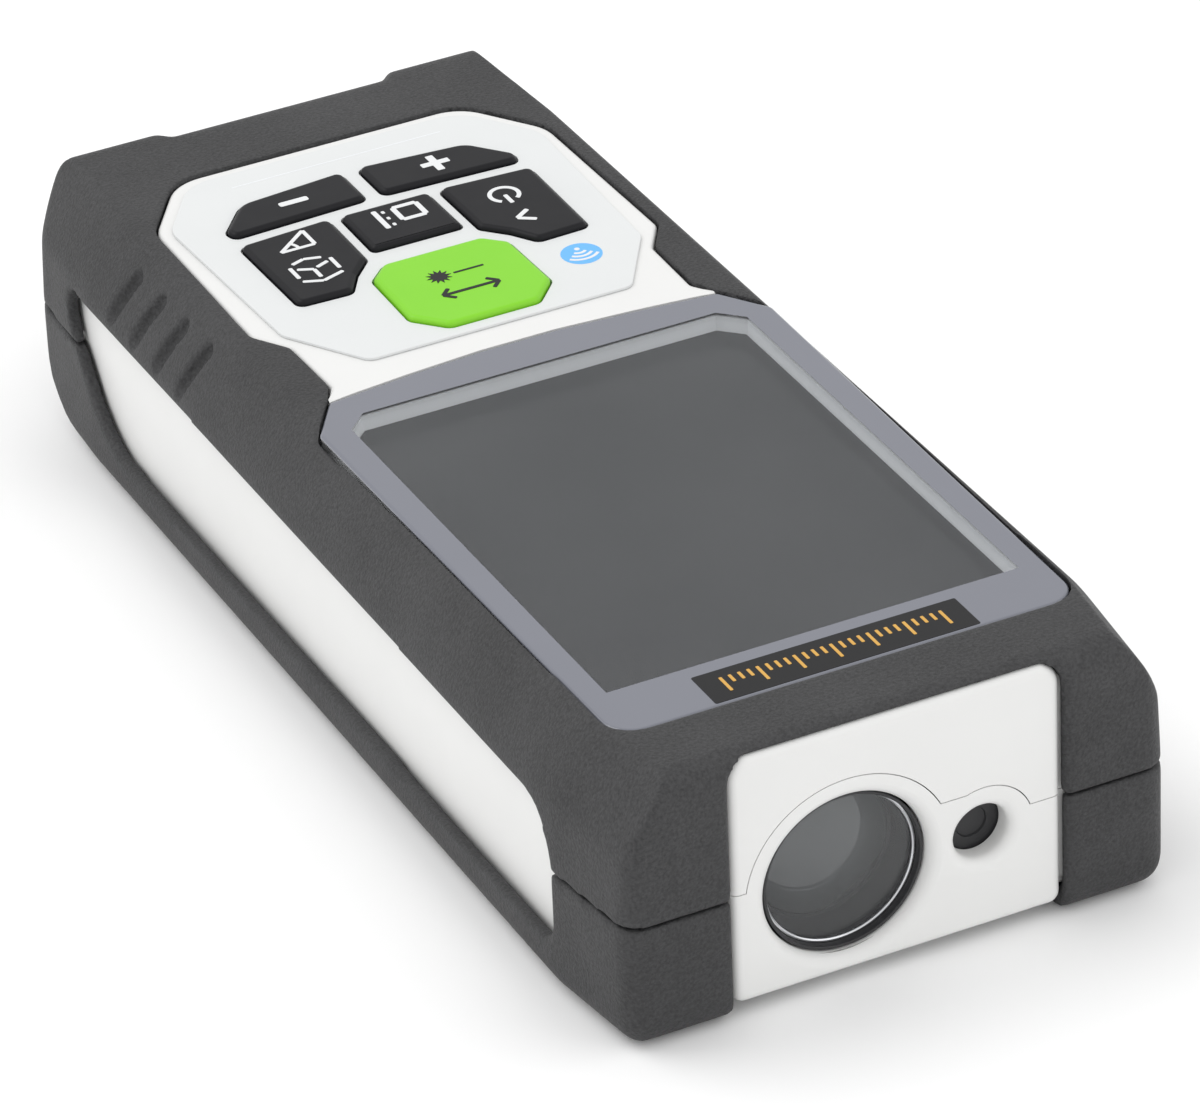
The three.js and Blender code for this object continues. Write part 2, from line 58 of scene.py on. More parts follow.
# A plan outline: each corner becomes an arc of arcSteps steps, and straight i gets runs[i] more points.
def roundedLoop(corners, arcSteps=6, runs=0):
    p, r = cornerArrays(corners)
    back, ahead = np.roll(p, 1, 0) - p, np.roll(p, -1, 0) - p
    back /= np.linalg.norm(back, axis=1)[:, None]
    ahead /= np.linalg.norm(ahead, axis=1)[:, None]
    half = np.arccos(np.clip((back * ahead).sum(1), -1, 1)) / 2
    middle = back + ahead
    middle /= np.maximum(np.linalg.norm(middle, axis=1), 1e-9)[:, None]
    centre = p + middle * (r / np.sin(half))[:, None]
    reach = (r / np.maximum(np.tan(half), 1e-9))[:, None]
    start, stop = p + back * reach - centre, p + ahead * reach - centre
    sweep = np.arctan2(start[:, 0] * stop[:, 1] - start[:, 1] * stop[:, 0], (start * stop).sum(1))
    turn = sweep[:, None] * np.linspace(0, 1, arcSteps + 1)
    arcX = np.cos(turn) * start[:, :1] - np.sin(turn) * start[:, 1:]
    arcY = np.sin(turn) * start[:, :1] + np.cos(turn) * start[:, 1:]
    arcs = np.stack([arcX, arcY], 2) + centre[:, None]
    counts = np.broadcast_to(runs, len(p))
    parts = []
    for i, arc in enumerate(arcs):
        t = np.linspace(0, 1, counts[i] + 2)[1:-1, None]
        parts += [arc, arc[-1] * (1 - t) + arcs[(i + 1) % len(arcs), 0] * t]
    return np.concatenate(parts)


# Drops points that repeat the one before.
def cleaned(loop):
    return loop[np.linalg.norm(loop - np.roll(loop, 1, 0), axis=1) > 1e-4]


# A rectangle's four corners, all with the same radius.
def boxCorners(x0, y0, x1, y1, r=0.0):
    return [(x0, y0, r), (x1, y0, r), (x1, y1, r), (x0, y1, r)]


# Corners given for x > 0, from the lens end to the rear, come back mirrored for x < 0.
def mirrored(side):
    side = [(tuple(k) + (0.0,))[:3] for k in side]
    return side + mirrorCorners(side)


def mirrorCorners(corners):
    return [(-x, y, r) for x, y, r in corners[::-1]]


# Moves each side of a corner list inwards by d, or by endD where the side faces along Y.
def insetCorners(corners, d, endD=None):
    endD = d if endD is None else endD
    p, r = cornerArrays(corners)
    before, after = p - np.roll(p, 1, 0), np.roll(p, -1, 0) - p
    before /= np.linalg.norm(before, axis=1)[:, None]
    after /= np.linalg.norm(after, axis=1)[:, None]
    d1 = np.where(abs(before[:, 0]) > 0.9, endD, d)
    d2 = np.where(abs(after[:, 0]) > 0.9, endD, d)
    n1, n2 = np.stack([-before[:, 1], before[:, 0]], 1), np.stack([-after[:, 1], after[:, 0]], 1)
    cross = n1[:, 0] * n2[:, 1] - n1[:, 1] * n2[:, 0]
    flat = abs(cross) < 1e-6
    safe = np.where(flat, 1, cross)
    move = np.stack([d1 * n2[:, 1] - d2 * n1[:, 1], d2 * n1[:, 0] - d1 * n2[:, 0]], 1) / safe[:, None]
    move = np.where(flat[:, None], n1 * d1[:, None], move)
    radius = np.where(r > 0, np.maximum(r - d, 0.3), 0)
    return [tuple(k) for k in np.column_stack([p + move, radius])]


# A mesh from rings of equal point counts: a grid closed round each ring, flat or a pole at each end.
def ringMesh(rings, closedEnds=True):
    rings = np.asarray(rings, float)
    rows, count = rings.shape[:2]
    k, row = np.arange(count), np.arange(rows - 1)[:, None]
    a, b = row * count + k, row * count + (k + 1) % count
    quads = np.stack([a, b, b + count, a + count], 2).reshape(-1, 4)
    mesh = bpy.data.meshes.new("rings")
    first, last = list(range(count))[::-1], list(range((rows - 1) * count, rows * count))
    points = (rings.reshape(-1, 3) + layoutShift) * mm
    mesh.from_pydata(points.tolist(), [], quads.tolist() + ([first, last] if closedEnds else []))
    return tidied(mesh)


# Merges doubled points and turns the faces of a closed shell outwards.
def tidied(mesh):
    bm = bmesh.new()
    bm.from_mesh(mesh)
    bmesh.ops.remove_doubles(bm, verts=bm.verts, dist=2e-7)
    bmesh.ops.dissolve_degenerate(bm, edges=bm.edges, dist=1e-8)
    if bm.calc_volume(signed=True) < 0:
        bmesh.ops.reverse_faces(bm, faces=bm.faces)
    bm.to_mesh(mesh)
    bm.free()
    return mesh


# A profile of (inset, height) pairs carried round an outline; the insets run along the outline's normals.
def moulded(loop, profile, axis="z"):
    loop = cleaned(np.asarray(loop, float))
    area = (loop[:, 0] * np.roll(loop[:, 1], -1) - loop[:, 1] * np.roll(loop[:, 0], -1)).sum()
    loop = loop if area > 0 else loop[::-1]
    along = np.roll(loop, -1, 0) - np.roll(loop, 1, 0)
    along /= np.linalg.norm(along, axis=1)[:, None]
    inward = np.stack([-along[:, 1], along[:, 0]], 1)
    profile = np.asarray(profile, float)
    flat = loop[None] + inward[None] * profile[:, 0, None, None]
    height = np.broadcast_to(profile[:, 1, None], flat.shape[:2])
    u, v = flat[..., 0], flat[..., 1]
    order = {"z": (u, v, height), "x": (height, u, v), "y": (u, height, v)}[axis]
    return ringMesh(np.stack(order, 2))


# A prism with sharp edges, for cutting with.
def prism(loop, low, high, axis="z"):
    return moulded(loop, [(0, low), (0, high)], axis)


def block(x0, x1, y0, y1, z0, z1):
    return prism([(x0, y0), (x1, y0), (x1, y1), (x0, y1)], z0, z1)


def quarterTurn(steps):
    return np.linspace(0, math.pi / 2, steps + 1)


# The edge profile of a plate: straight walls with a quarter-round, of radius r at the top and foot below.
def softEdge(low, high, r, foot=0.0, steps=4):
    t = quarterTurn(steps)
    up = [(r * (1 - math.cos(a)), high - r + r * math.sin(a)) for a in t] + [(r + 0.1, high)]
    down = [(0, low)]
    if foot:
        down = [(foot * (1 - math.cos(a)), low + foot - foot * math.sin(a)) for a in t[::-1]]
    return down + up


def fullTurn(steps):
    return np.linspace(0, 2 * math.pi, steps, endpoint=False)


# A profile of (radius, place along Y) pairs turned round a line along Y; radius 0 makes a pole.
def turnedY(profile, x, z, steps=64):
    angle = fullTurn(steps)
    p = np.asarray(profile, float)
    rings = np.stack([x + p[:, :1] * np.cos(angle), np.broadcast_to(p[:, 1:], (len(p), steps)),
                      z + p[:, :1] * np.sin(angle)], 2)
    return ringMesh(rings, not np.allclose(p[0], p[-1]))


# The same round a line along Z, with (radius, height) pairs.
def turnedZ(profile, x, y, steps=48):
    angle = fullTurn(steps)
    p = np.asarray(profile, float)
    rings = np.stack([x + p[:, :1] * np.cos(angle), y + p[:, :1] * np.sin(angle),
                      np.broadcast_to(p[:, 1:], (len(p), steps))], 2)
    return ringMesh(rings, not np.allclose(p[0], p[-1]))


# A circular hole or boss along Y.
def rodY(r, x, z, low, high, steps=64):
    return turnedY([(0, low), (r, low), (r, high), (0, high)], x, z, steps)


def rodZ(r, x, y, low, high):
    return turnedZ([(0, low), (r, low), (r, high), (0, high)], x, y, 32)


def cutters(*meshes):
    return [("DIFFERENCE", m) for m in meshes]


def joiners(*meshes):
    return [("UNION", m) for m in meshes]


# Runs ("UNION" or "DIFFERENCE" or "INTERSECT", mesh) steps in order on a closed mesh.
def combined(base, *steps):
    worker = bpy.data.objects.new("worker", base)
    scene.collection.objects.link(worker)
    tools = []
    for operation, mesh in steps:
        tool = bpy.data.objects.new("tool", mesh)
        scene.collection.objects.link(tool)
        step = worker.modifiers.new("step", "BOOLEAN")
        step.operation, step.object, step.solver = operation, tool, "MANIFOLD"
        tools.append(tool)
    graph = bpy.context.evaluated_depsgraph_get()
    made = bpy.data.meshes.new_from_object(worker.evaluated_get(graph))
    for ob in [worker] + tools:
        bpy.data.objects.remove(ob)
    return made


# Splits every face into triangles, so that no face has to bend round a hole.
def split(mesh):
    bm = bmesh.new()
    bm.from_mesh(mesh)
    bmesh.ops.triangulate(bm, faces=bm.faces, ngon_method="EAR_CLIP")
    bm.to_mesh(mesh)
    bm.free()
    return mesh


# Several closed meshes as one mesh of separate shells.
def together(meshes):
    bm = bmesh.new()
    for mesh in meshes:
        bm.from_mesh(mesh)
    made = bpy.data.meshes.new("together")
    bm.to_mesh(made)
    bm.free()
    return made


# Rounds all edges of a closed mesh by about one voxel: remesh, then relax.
def eased(mesh, voxel, rounds):
    worker = bpy.data.objects.new("worker", mesh)
    scene.collection.objects.link(worker)
    remesh = worker.modifiers.new("remesh", "REMESH")
    remesh.mode, remesh.voxel_size, remesh.adaptivity = "VOXEL", voxel * mm, 0
    relax = worker.modifiers.new("relax", "SMOOTH")
    relax.factor, relax.iterations = 0.5, rounds
    made = bpy.data.meshes.new_from_object(worker.evaluated_get(bpy.context.evaluated_depsgraph_get()))
    bpy.data.objects.remove(worker)
    return made


# A node socket that arithmetic can be written with; each operation adds a Math node.
class Wire:
    def __init__(self, finish, socket):
        self.finish = finish
        self.socket = socket

    def math(self, operation, *values):
        return self.finish.add("ShaderNodeMath", {"operation": operation}, dict(enumerate(values)))[0]

    def __add__(self, other):
        return self.math("ADD", self, other)

    def __radd__(self, other):
        return self.math("ADD", other, self)

    def __sub__(self, other):
        return self.math("SUBTRACT", self, other)

    def __rsub__(self, other):
        return self.math("SUBTRACT", other, self)

    def __mul__(self, other):
        return self.math("MULTIPLY", self, other)

    def __rmul__(self, other):
        return self.math("MULTIPLY", other, self)

    def __truediv__(self, other):
        return self.math("DIVIDE", self, other)

    def __gt__(self, other):
        return self.math("GREATER_THAN", self, other)

    def __abs__(self):
        return self.math("ABSOLUTE", self)


# A node just added; its outputs are taken by name or number.
class Added:
    def __init__(self, finish, node):
        self.finish = finish
        self.node = node

    def __getitem__(self, key):
        return Wire(self.finish, pick(self.node.outputs, key))


# A socket by its number, its identifier or its name.
def pick(sockets, key):
    if isinstance(key, int):
        return sockets[key]
    named = [s for s in sockets if s.identifier == key]
    return named[0] if named else sockets[key]


# A material that is put together around its main shader.
class Finish:
    def __init__(self, name, **fixed):
        self.material = bpy.data.materials.new(name)
        self.material.use_nodes = True
        self.nodes = self.material.node_tree.nodes
        self.links = self.material.node_tree.links
        self.shader = self.nodes["Principled BSDF"]
        self.set(**fixed)
        self.place = self.add("ShaderNodeTexCoord")["Object"]

    # Adds any node: its settings first, then its socket values and links.
    def add(self, kind, settings=None, inputs=None):
        node = self.nodes.new(kind)
        for key, value in (settings or {}).items():
            setattr(node, key, value)
        for key, value in (inputs or {}).items():
            self.feed(pick(node.inputs, key), value)
        return Added(self, node)

    def feed(self, socket, value):
        if isinstance(value, Wire):
            self.links.new(value.socket, socket)
        elif isinstance(value, tuple) and len(value) == 3 and socket.type == "RGBA":
            socket.default_value = value + (1.0,)
        else:
            socket.default_value = value

    # Sets or links sockets of the main shader, written as words with underscores.
    def set(self, **values):
        for key, value in values.items():
            self.feed(self.shader.inputs[key.replace("_", " ")], value)

    def noise(self, size, detail=2.0, rough=0.5):
        inputs = {"Vector": self.place, "Scale": 1 / (size * mm), "Detail": detail, "Roughness": rough}
        return self.add("ShaderNodeTexNoise", {}, inputs)["Fac"]

    def blend(self, share, first, second):
        inputs = {"Factor_Float": share, "A_Color": first, "B_Color": second}
        return self.add("ShaderNodeMix", {"data_type": "RGBA"}, inputs)["Result_Color"]

    # The object's own x and y in layout millimetres.
    def plan(self):
        axes = self.add("ShaderNodeSeparateXYZ", {}, {0: self.place})
        return axes["X"] / mm, axes["Y"] / mm - layoutShift[1]

    def bump(self, height, strength, depth):
        inputs = {"Height": height, "Strength": strength, "Distance": depth * mm}
        self.set(Normal=self.add("ShaderNodeBump", {}, inputs)["Normal"])


# What a look has unless its own entry says otherwise. Lengths are in millimetres.
plainLook = dict(drift=9, speckle=0.0, roughSpread=0.1, grainStrength=0.2, grainDepth=0.02, fixed={})


# A moulded surface: a colour that drifts a little between two tones, a drifting roughness, and a grain.
def mouldedFinish(name, changes):
    look = plainLook | changes
    f = Finish(name, **look["fixed"])
    drift, grain = f.noise(look["drift"], 3), f.noise(look["grain"], 3, 0.6)
    share = drift + (grain - 0.5) * look["speckle"] * 6
    f.set(Base_Color=f.blend(share, look["dark"], look["light"]))
    f.set(Roughness=look["rough"] + (f.noise(look["drift"] / 3, 2) - 0.5) * look["roughSpread"])
    f.bump(grain, look["grainStrength"], look["grainDepth"])
    return f


looks = {
    "white_shell": dict(dark=(0.755, 0.755, 0.745), light=(0.79, 0.79, 0.78), rough=0.42, grain=0.25,
                        grainDepth=0.004),
    "black_rubber": dict(dark=(0.017, 0.017, 0.018), light=(0.046, 0.046, 0.048), rough=0.6, roughSpread=0.12,
                         grain=0.32, grainStrength=1.0, grainDepth=0.16, drift=14, speckle=0.45),
    "dark_plastic": dict(dark=(0.018, 0.018, 0.020), light=(0.026, 0.026, 0.028), rough=0.5, grain=0.3),
    "door_plastic": dict(dark=(0.040, 0.040, 0.043), light=(0.050, 0.050, 0.053), rough=0.55, grain=0.25,
                         grainStrength=0.4),
    # The pale frame plastic glows faintly (Emission Strength 0.09). This is painted light that brightens the
    # frame where the cover shades it.
    "frame_plastic": dict(dark=(0.72, 0.74, 0.76), light=(0.76, 0.78, 0.80), rough=0.5, grain=0.4,
                          grainDepth=0.003, fixed={"Emission_Strength": 0.09}),
    "keypad_film": dict(dark=(0.70, 0.715, 0.715), light=(0.73, 0.745, 0.745), rough=0.34, grain=0.18,
                        grainDepth=0.005),
    "key_dark": dict(dark=(0.006, 0.006, 0.008), light=(0.009, 0.009, 0.011), rough=0.42, grain=0.16,
                     grainStrength=0.25, grainDepth=0.008, fixed={"Specular_IOR_Level": 0.2}),
    "key_green": dict(dark=(0.21, 0.61, 0.020), light=(0.24, 0.65, 0.028), rough=0.38, grain=0.16,
                      grainStrength=0.2, grainDepth=0.006, fixed={"Specular_IOR_Level": 0.3}),
    "mat_rubber": dict(dark=(0.42, 0.43, 0.44), light=(0.48, 0.49, 0.50), rough=0.6, grain=0.3),
    "circuit_board": dict(dark=(0.010, 0.085, 0.045), light=(0.016, 0.12, 0.06), rough=0.35, grain=0.6),
    "bright_steel": dict(dark=(0.58, 0.59, 0.61), light=(0.66, 0.67, 0.69), rough=0.28, grain=0.15,
                         fixed={"Metallic": 1.0}),
    "brass": dict(dark=(0.66, 0.47, 0.20), light=(0.76, 0.58, 0.28), rough=0.3, grain=0.2,
                  fixed={"Metallic": 1.0}),
    "cell_sleeve": dict(dark=(0.020, 0.075, 0.20), light=(0.026, 0.09, 0.235), rough=0.25, grain=0.5,
                        grainDepth=0.003),
    "gasket_rubber": dict(dark=(0.25, 0.05, 0.03), light=(0.33, 0.08, 0.05), rough=0.6, grain=0.3),
    "print_white": dict(dark=(0.74, 0.75, 0.76), light=(0.80, 0.81, 0.82), rough=0.4, grain=0.2,
                        grainDepth=0.003),
    "print_blue": dict(dark=(0.11, 0.42, 0.86), light=(0.14, 0.48, 0.92), rough=0.35, grain=0.2,
                       grainDepth=0.003),
    "print_gold": dict(dark=(0.62, 0.33, 0.05), light=(0.72, 0.40, 0.07), rough=0.4, grain=0.2,
                       grainDepth=0.003),
    "label_black": dict(dark=(0.005, 0.005, 0.006), light=(0.008, 0.008, 0.009), rough=0.3, grain=0.3,
                        grainDepth=0.003, fixed={"Specular_IOR_Level": 0.25}),
}
finishes = {name: mouldedFinish(name, look) for name, look in looks.items()}

# The clear field of the cover, and the grey printed round it.
display = dict(halfWidth=20.8, front=-49.8, rear=5.0, chamfer=2.2, printTone=(0.165, 0.172, 0.205))


# The cover's top: a grey printed border round a clear field with two cut-off rear corners.
def windowFinish():
    f = Finish("window_clear", Roughness=0.10, Coat_Weight=0.4, Coat_Roughness=0.03)
    tone = display["printTone"]
    f.set(Base_Color=f.blend(f.noise(6, 2), tone, tuple(1.05 * t for t in tone)))
    x, y = f.plan()
    side, near, far = abs(x) - display["halfWidth"], display["front"] - y, y - display["rear"]
    outside = side
    for distance in (near, far, side + far + display["chamfer"]):
        outside = outside.math("MAXIMUM", outside, distance)
    clearShader(f, outside > 0.0)
    return f


# Where share is 0 the surface is a thin clear sheet: light goes straight through and is mirrored a little, by
# 0.04 + 0.96 * facing^5. Where share is 1 it is the main shader.
def clearShader(f, share):
    through = f.add("ShaderNodeBsdfTransparent", {}, {"Color": (0.97, 0.975, 0.98)})
    gloss = f.add("ShaderNodeBsdfGlossy", {}, {"Roughness": 0.04, "Color": (0.66, 0.67, 0.68)})
    facing = f.add("ShaderNodeLayerWeight", {}, {"Blend": 0.5})["Facing"]
    edgeOn = 0.04 + 0.96 * facing.math("POWER", facing, 5.0)
    sheet = f.add("ShaderNodeMixShader", {}, {0: edgeOn, 1: through["BSDF"], 2: gloss["BSDF"]})
    main = Wire(f, f.shader.outputs["BSDF"])
    whole = f.add("ShaderNodeMixShader", {}, {0: share, 1: sheet["Shader"], 2: main})
    f.feed(f.nodes["Material Output"].inputs["Surface"], whole["Shader"])


# The display's dark glass. It is drawn a little lighter towards the lens end, and that ramp is painted light,
# not a tone of the glass.
def lcdFinish():
    f = Finish("lcd_face", Roughness=0.3, Specular_IOR_Level=0.2)
    y = f.plan()[1]
    # Painted light: the glass goes from a little lighter at the lens end to darker at the rear.
    paintedLightRamp = (y + 59.4) / 75
    tone = f.blend(paintedLightRamp, (0.012, 0.012, 0.015), (0.008, 0.010, 0.012))
    f.set(Base_Color=f.blend(f.noise(12, 1) * 0.3, tone, (0.010, 0.011, 0.014)))
    return f


# Coated glass over a dark inside. Its colour is a little lighter where it faces the camera, which is a
# painted reflection.
def lensFinish():
    f = Finish("lens_glass", Roughness=0.04, Coat_Weight=0.6, Coat_Roughness=0.02)
    # Painted reflection: lighter where the glass faces the camera, darker towards its grazing rim.
    facing = f.add("ShaderNodeLayerWeight", {}, {"Blend": 0.4})["Facing"]
    f.set(Base_Color=f.blend(facing, (0.060, 0.063, 0.065), (0.044, 0.046, 0.048)))
    f.set(Roughness=0.05 + f.noise(2, 2) * 0.03)
    return f


finishes["window_clear"] = windowFinish()
finishes["lcd_face"] = lcdFinish()
finishes["lens_glass"] = lensFinish()
clearPlastic = Finish("clear_plastic")
clearShader(clearPlastic, clearPlastic.noise(20) * 0.04)
finishes["clear_plastic"] = clearPlastic
print("finishes done")


# Puts a mesh in the scene as a piece of the object, with its finishes in slot order.
def addPiece(name, mesh, body, slot, stands=(), looksUsed=None, sharp=32):
    mesh.name = name
    used = looksUsed or [slot]
    index = np.zeros(len(mesh.polygons), np.int32)
    mesh.polygons.foreach_get("material_index", index)
    mesh.materials.clear()
    for look in used:
        mesh.materials.append(finishes[look].material)
    mesh.polygons.foreach_set("material_index", np.minimum(index, len(used) - 1))
    mesh.shade_smooth()
    mesh.set_sharp_from_angle(angle=math.radians(sharp))
    ob = bpy.data.objects.new(name, mesh)
    scene.collection.objects.link(ob)
    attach(ob, body)
    if stands:
        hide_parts(*stands)
    return ob


# Gives every face of a mesh one material slot.
def painted(mesh, index):
    mesh.polygons.foreach_set("material_index", np.full(len(mesh.polygons), index, np.int32))
    return mesh


# The whole body. Heights and insets of its section are in millimetres, as everywhere.
body = dict(
    top=27.8, front=-65.4, rear=66.6, frontHalf=27.2, shoulderHalf=28.7, shoulderY=-53, rearHalf=27.9,
    baseRound=3.0, rearRound=15.0, extraRear=1.2, split=13.1, housingSplit=19.4, gap=0.3,
    wallTop=20.2, draft=0.45, rim=27.0, rimInset=4.2, topInset=5.2, crown=1.4, endTop=25.3, endRun=2.6,
    scoopHalf=12.4, scoopDepth=1.3, scoopZ=22.0, rubber=1.3, wall=1.4,
)
housingInset = body["rubber"] + body["gap"]


def footInset(z):
    r = body["baseRound"]
    return r - np.sqrt(np.maximum(r * r - np.clip(r - z, 0, r) ** 2, 0))


# Side section: round foot, drafted wall, crowned facet and rim. Above the foot it is averaged over 1.4 mm,
# which eases the creases.
def sideInset(z):
    b = body
    z = np.asarray(z, float)[..., None]
    z = np.clip(z + np.linspace(-0.7, 0.7, 9) * (z > 10), 0, b["top"])
    t = np.clip((z - b["wallTop"]) / (b["rim"] - b["wallTop"]), 0, 1)
    wall = b["draft"] * np.clip((z - b["split"]) / (b["wallTop"] - b["split"]), 0, 1)
    facet = (b["rimInset"] - b["draft"]) * t - b["crown"] * t * (1 - t)
    rim = (b["topInset"] - b["rimInset"]) * np.clip((z - b["rim"]) / (b["top"] - b["rim"]), 0, 1)
    return (footInset(z) + wall + facet + rim).mean(-1)


# End section: round foot, upright wall and a quarter-round top edge.
def endInset(z):
    up = np.clip((z - body["endTop"]) / (body["top"] - body["endTop"]), 0, 1)
    return footInset(z) + body["endRun"] * (1 - np.sqrt(1 - up * up))


def smoothStep(low, high, v):
    t = np.clip((v - low) / (high - low), 0, 1)
    return t * t * (3 - 2 * t)


# The whole body as rings of one plan outline, each taken in by d and by its height's insets. The rear foot is
# cut back to a large round, and with scoop the middle of the rear edge is set in by a soft step.
def bodyForm(d, scoop=False):
    b = body
    foot = b["baseRound"] * (1 - np.cos(quarterTurn(8)))
    edge = b["endTop"] + (b["top"] - b["endTop"]) * np.sin(quarterTurn(10))
    wallEnd = b["wallTop"] - 1.5
    levels = np.concatenate([foot, np.linspace(b["baseRound"], wallEnd, 16)[1:],
                             np.linspace(wallEnd, b["endTop"], 14)[1:], edge[1:]])
    endY = b["rear"] - (b["extraRear"] if d else 0)
    plan = mirrored([(b["frontHalf"], b["front"], 2.4), (b["shoulderHalf"], b["shoulderY"], 16),
                     (b["rearHalf"], 51, 24), (b["rearHalf"] - 0.9, endY, 4.5)])
    runs = [8, 60, 10, 160, 10, 60, 8, 40]  # more points where the rear step is cut in
    squeeze = (b["top"] - 2 * d) / b["top"]
    heights = b["top"] / 2 + (levels - b["top"] / 2) * squeeze
    r = b["rearRound"] - d
    rings = []
    for z, height in zip(levels, heights):
        flat = roundedLoop(insetCorners(plan, d + sideInset(z), d + endInset(z)), 10, runs)
        low = height - d
        if low < r:
            limit = endY - d - r + math.sqrt(max(r * r - (r - low) ** 2, 0))
            flat[:, 1] = np.minimum(flat[:, 1], limit)
        if scoop:
            share = smoothStep(b["scoopHalf"] + 0.7, b["scoopHalf"] - 0.9, abs(flat[:, 0]))
            share = share * smoothStep(b["scoopZ"] - 1, b["scoopZ"] + 1, height) * (flat[:, 1] > 40)
            flat[:, 1] -= b["scoopDepth"] * share
        rings.append(np.column_stack([flat, np.full(len(flat), height)]))
    return ringMesh(rings)


# Plan outlines of the white deck and the cover, and the side outline (y, z) of the long side windows.
deckCorners = mirrored([(20.4, 8.4), (19.1, 11.1, 1), (19.3, 19.4, 1), (21.7, 23.2, 1.5), (21.3, 46.5, 5),
                        (15.6, 54.9, 5)])
windowCorners = mirrored([(23.3, -56.7, 3), (23.8, 3.4, 1), (20.5, 8.4, 0.6), (12, 9.3), (4, 9.9)])
panelCorners = [(-52.9, 5.1, 2.4), (46.5, 5.1, 12), (56.6, 16, 3), (55.4, 18.8, 1.5), (-52.9, 18.8, 6)]
faceHalf, faceTop, faceRound, faceY = 16.6, 27.1, 2.2, -64.7
lensSpot = dict(x=-4.9, z=11.4, bore=8.2, seam=10.4)
laserSpot = dict(x=8.7, z=11.4, bore=2.75, seam=5.0)
door = dict(half=16.9, front=2.5, rear=51.4, low=0.3, high=1.8)
screwSpots = [(-20.5, -56.2), (20.5, -56.2), (-20.5, 54.5), (20.5, 54.5)]
deckTop = 27.6


# The front opening in the rubber, with a lip that rolls outwards on a quarter-round.
def faceCutter(grow, lip):
    r = faceRound + grow
    half, top = faceHalf + grow, faceTop + grow
    loop = roundedLoop([(-half, below), (half, below), (half, top, r), (-half, top, r)], 8, 2)
    roll = [(-lip * (1 - math.sin(a)), body["front"] + lip * (1 - math.cos(a))) for a in quarterTurn(6)]
    return moulded(loop, [(-lip, -pastY)] + roll + [(0, -63.6)], "y")


# The side windows, cut from both sides.
def panelCuts():
    loop = roundedLoop(panelCorners, 10)
    return cutters(prism(loop, -pastX, -20, "x"), prism(loop, 20, pastX, "x"))


# The grip grooves on each side: size, spacing and the two angles in radians that lay them on the facet.
grip = dict(count=4, first=44.0, pitch=5.5, wide=1.5, long=7.0, deep=2.0, lean=0.36, tilt=0.5, x=26.4, z=23.2)


# One grip groove: a bar with rounded ends, turned to lie across the facet on the side given by sign.
def gripGroove(sign, y):
    g = grip
    loop = roundedLoop(boxCorners(-g["wide"] / 2, -g["long"] / 2, g["wide"] / 2, g["long"] / 2, 0.6), 5)
    lean, tilt = g["lean"], sign * -g["tilt"]
    u, v = loop[:, 0], loop[:, 1]
    rings = []
    for x in (-g["deep"] / 2, g["deep"] / 2):
        y1, z1 = u * math.cos(lean) - v * math.sin(lean), u * math.sin(lean) + v * math.cos(lean)
        x2, z2 = x * math.cos(tilt) + z1 * math.sin(tilt), -x * math.sin(tilt) + z1 * math.cos(tilt)
        rings.append(np.column_stack([x2 + sign * g["x"], y1 + y, z2 + g["z"]]))
    return ringMesh(rings)


faceCut = cutters(faceCutter(0.08, 0.9))
doorSides = door["half"] + 0.3
doorCut = cutters(block(-doorSides, doorSides, door["front"] - 0.4, door["rear"] + 0.3, below, 3.6))


# The opening in the rubber round the deck and the cover.
def deckCut(grow):
    outlines = (deckCorners, windowCorners)
    return cutters(*[prism(roundedLoop(insetCorners(c, -grow), 5), 20, above) for c in outlines])


# The rubber is the body's outer layer with its openings. It is eased, then cut again for crisp openings.
bumper = dict(upperVoxel=0.36, lowerVoxel=0.46, rounds=3, deckGap=0.2, screwHole=2.9)


def screwRods(r, low, high):
    return [rodZ(r, x, y, low, high) for x, y in screwSpots]


# The outer layer between two heights.
def rubberLayer(low, high):
    return combined(bodyForm(0, True), ("INTERSECT", block(-pastX, pastX, -pastY, pastY, low, high)),
                    *cutters(bodyForm(body["rubber"])))


def buildBumpers():
    b = bumper
    halfGap = body["gap"] / 2
    places = [grip["first"] - i * grip["pitch"] for i in range(grip["count"])]
    grooves = [gripGroove(s, y) for y in places for s in (-1, 1)]
    upper = combined(rubberLayer(body["split"] + halfGap, above), *deckCut(0), *panelCuts(), *faceCut,
                     *cutters(*grooves))
    upper = combined(eased(upper, b["upperVoxel"], b["rounds"]), *deckCut(b["deckGap"]), *panelCuts(),
                     *faceCut)
    addPiece("upper_bumper_skin", upper, "housing", "black_rubber", ["upper_bumper"], sharp=80)
    holes = cutters(*screwRods(b["screwHole"], below, 5))
    sill = cutters(block(-faceHalf, faceHalf, -pastY, -60.5, below, 6))
    lower = combined(rubberLayer(below, body["split"] - halfGap), *panelCuts(), *faceCut, *sill)
    lower = combined(eased(lower, b["lowerVoxel"], b["rounds"]), *panelCuts(), *faceCut, *doorCut, *holes)
    addPiece("lower_bumper_skin", lower, "housing", "black_rubber", ["lower_bumper"], sharp=80)


buildBumpers()
print("bumpers done")

# The white housing. Boss and bore values are radii that fit the screws.
housing = dict(seamGap=0.10, lensRim=1.3, laserRim=1.1, faceEdge=0.85, deckEdge=0.45, keyGap=0.3,
               seatGap=0.12, boss=3.0, screwHead=2.6, lowerBore=1.5, upperBore=1.4, boardBoss=1.9,
               boardX=20.2, boardY=12)


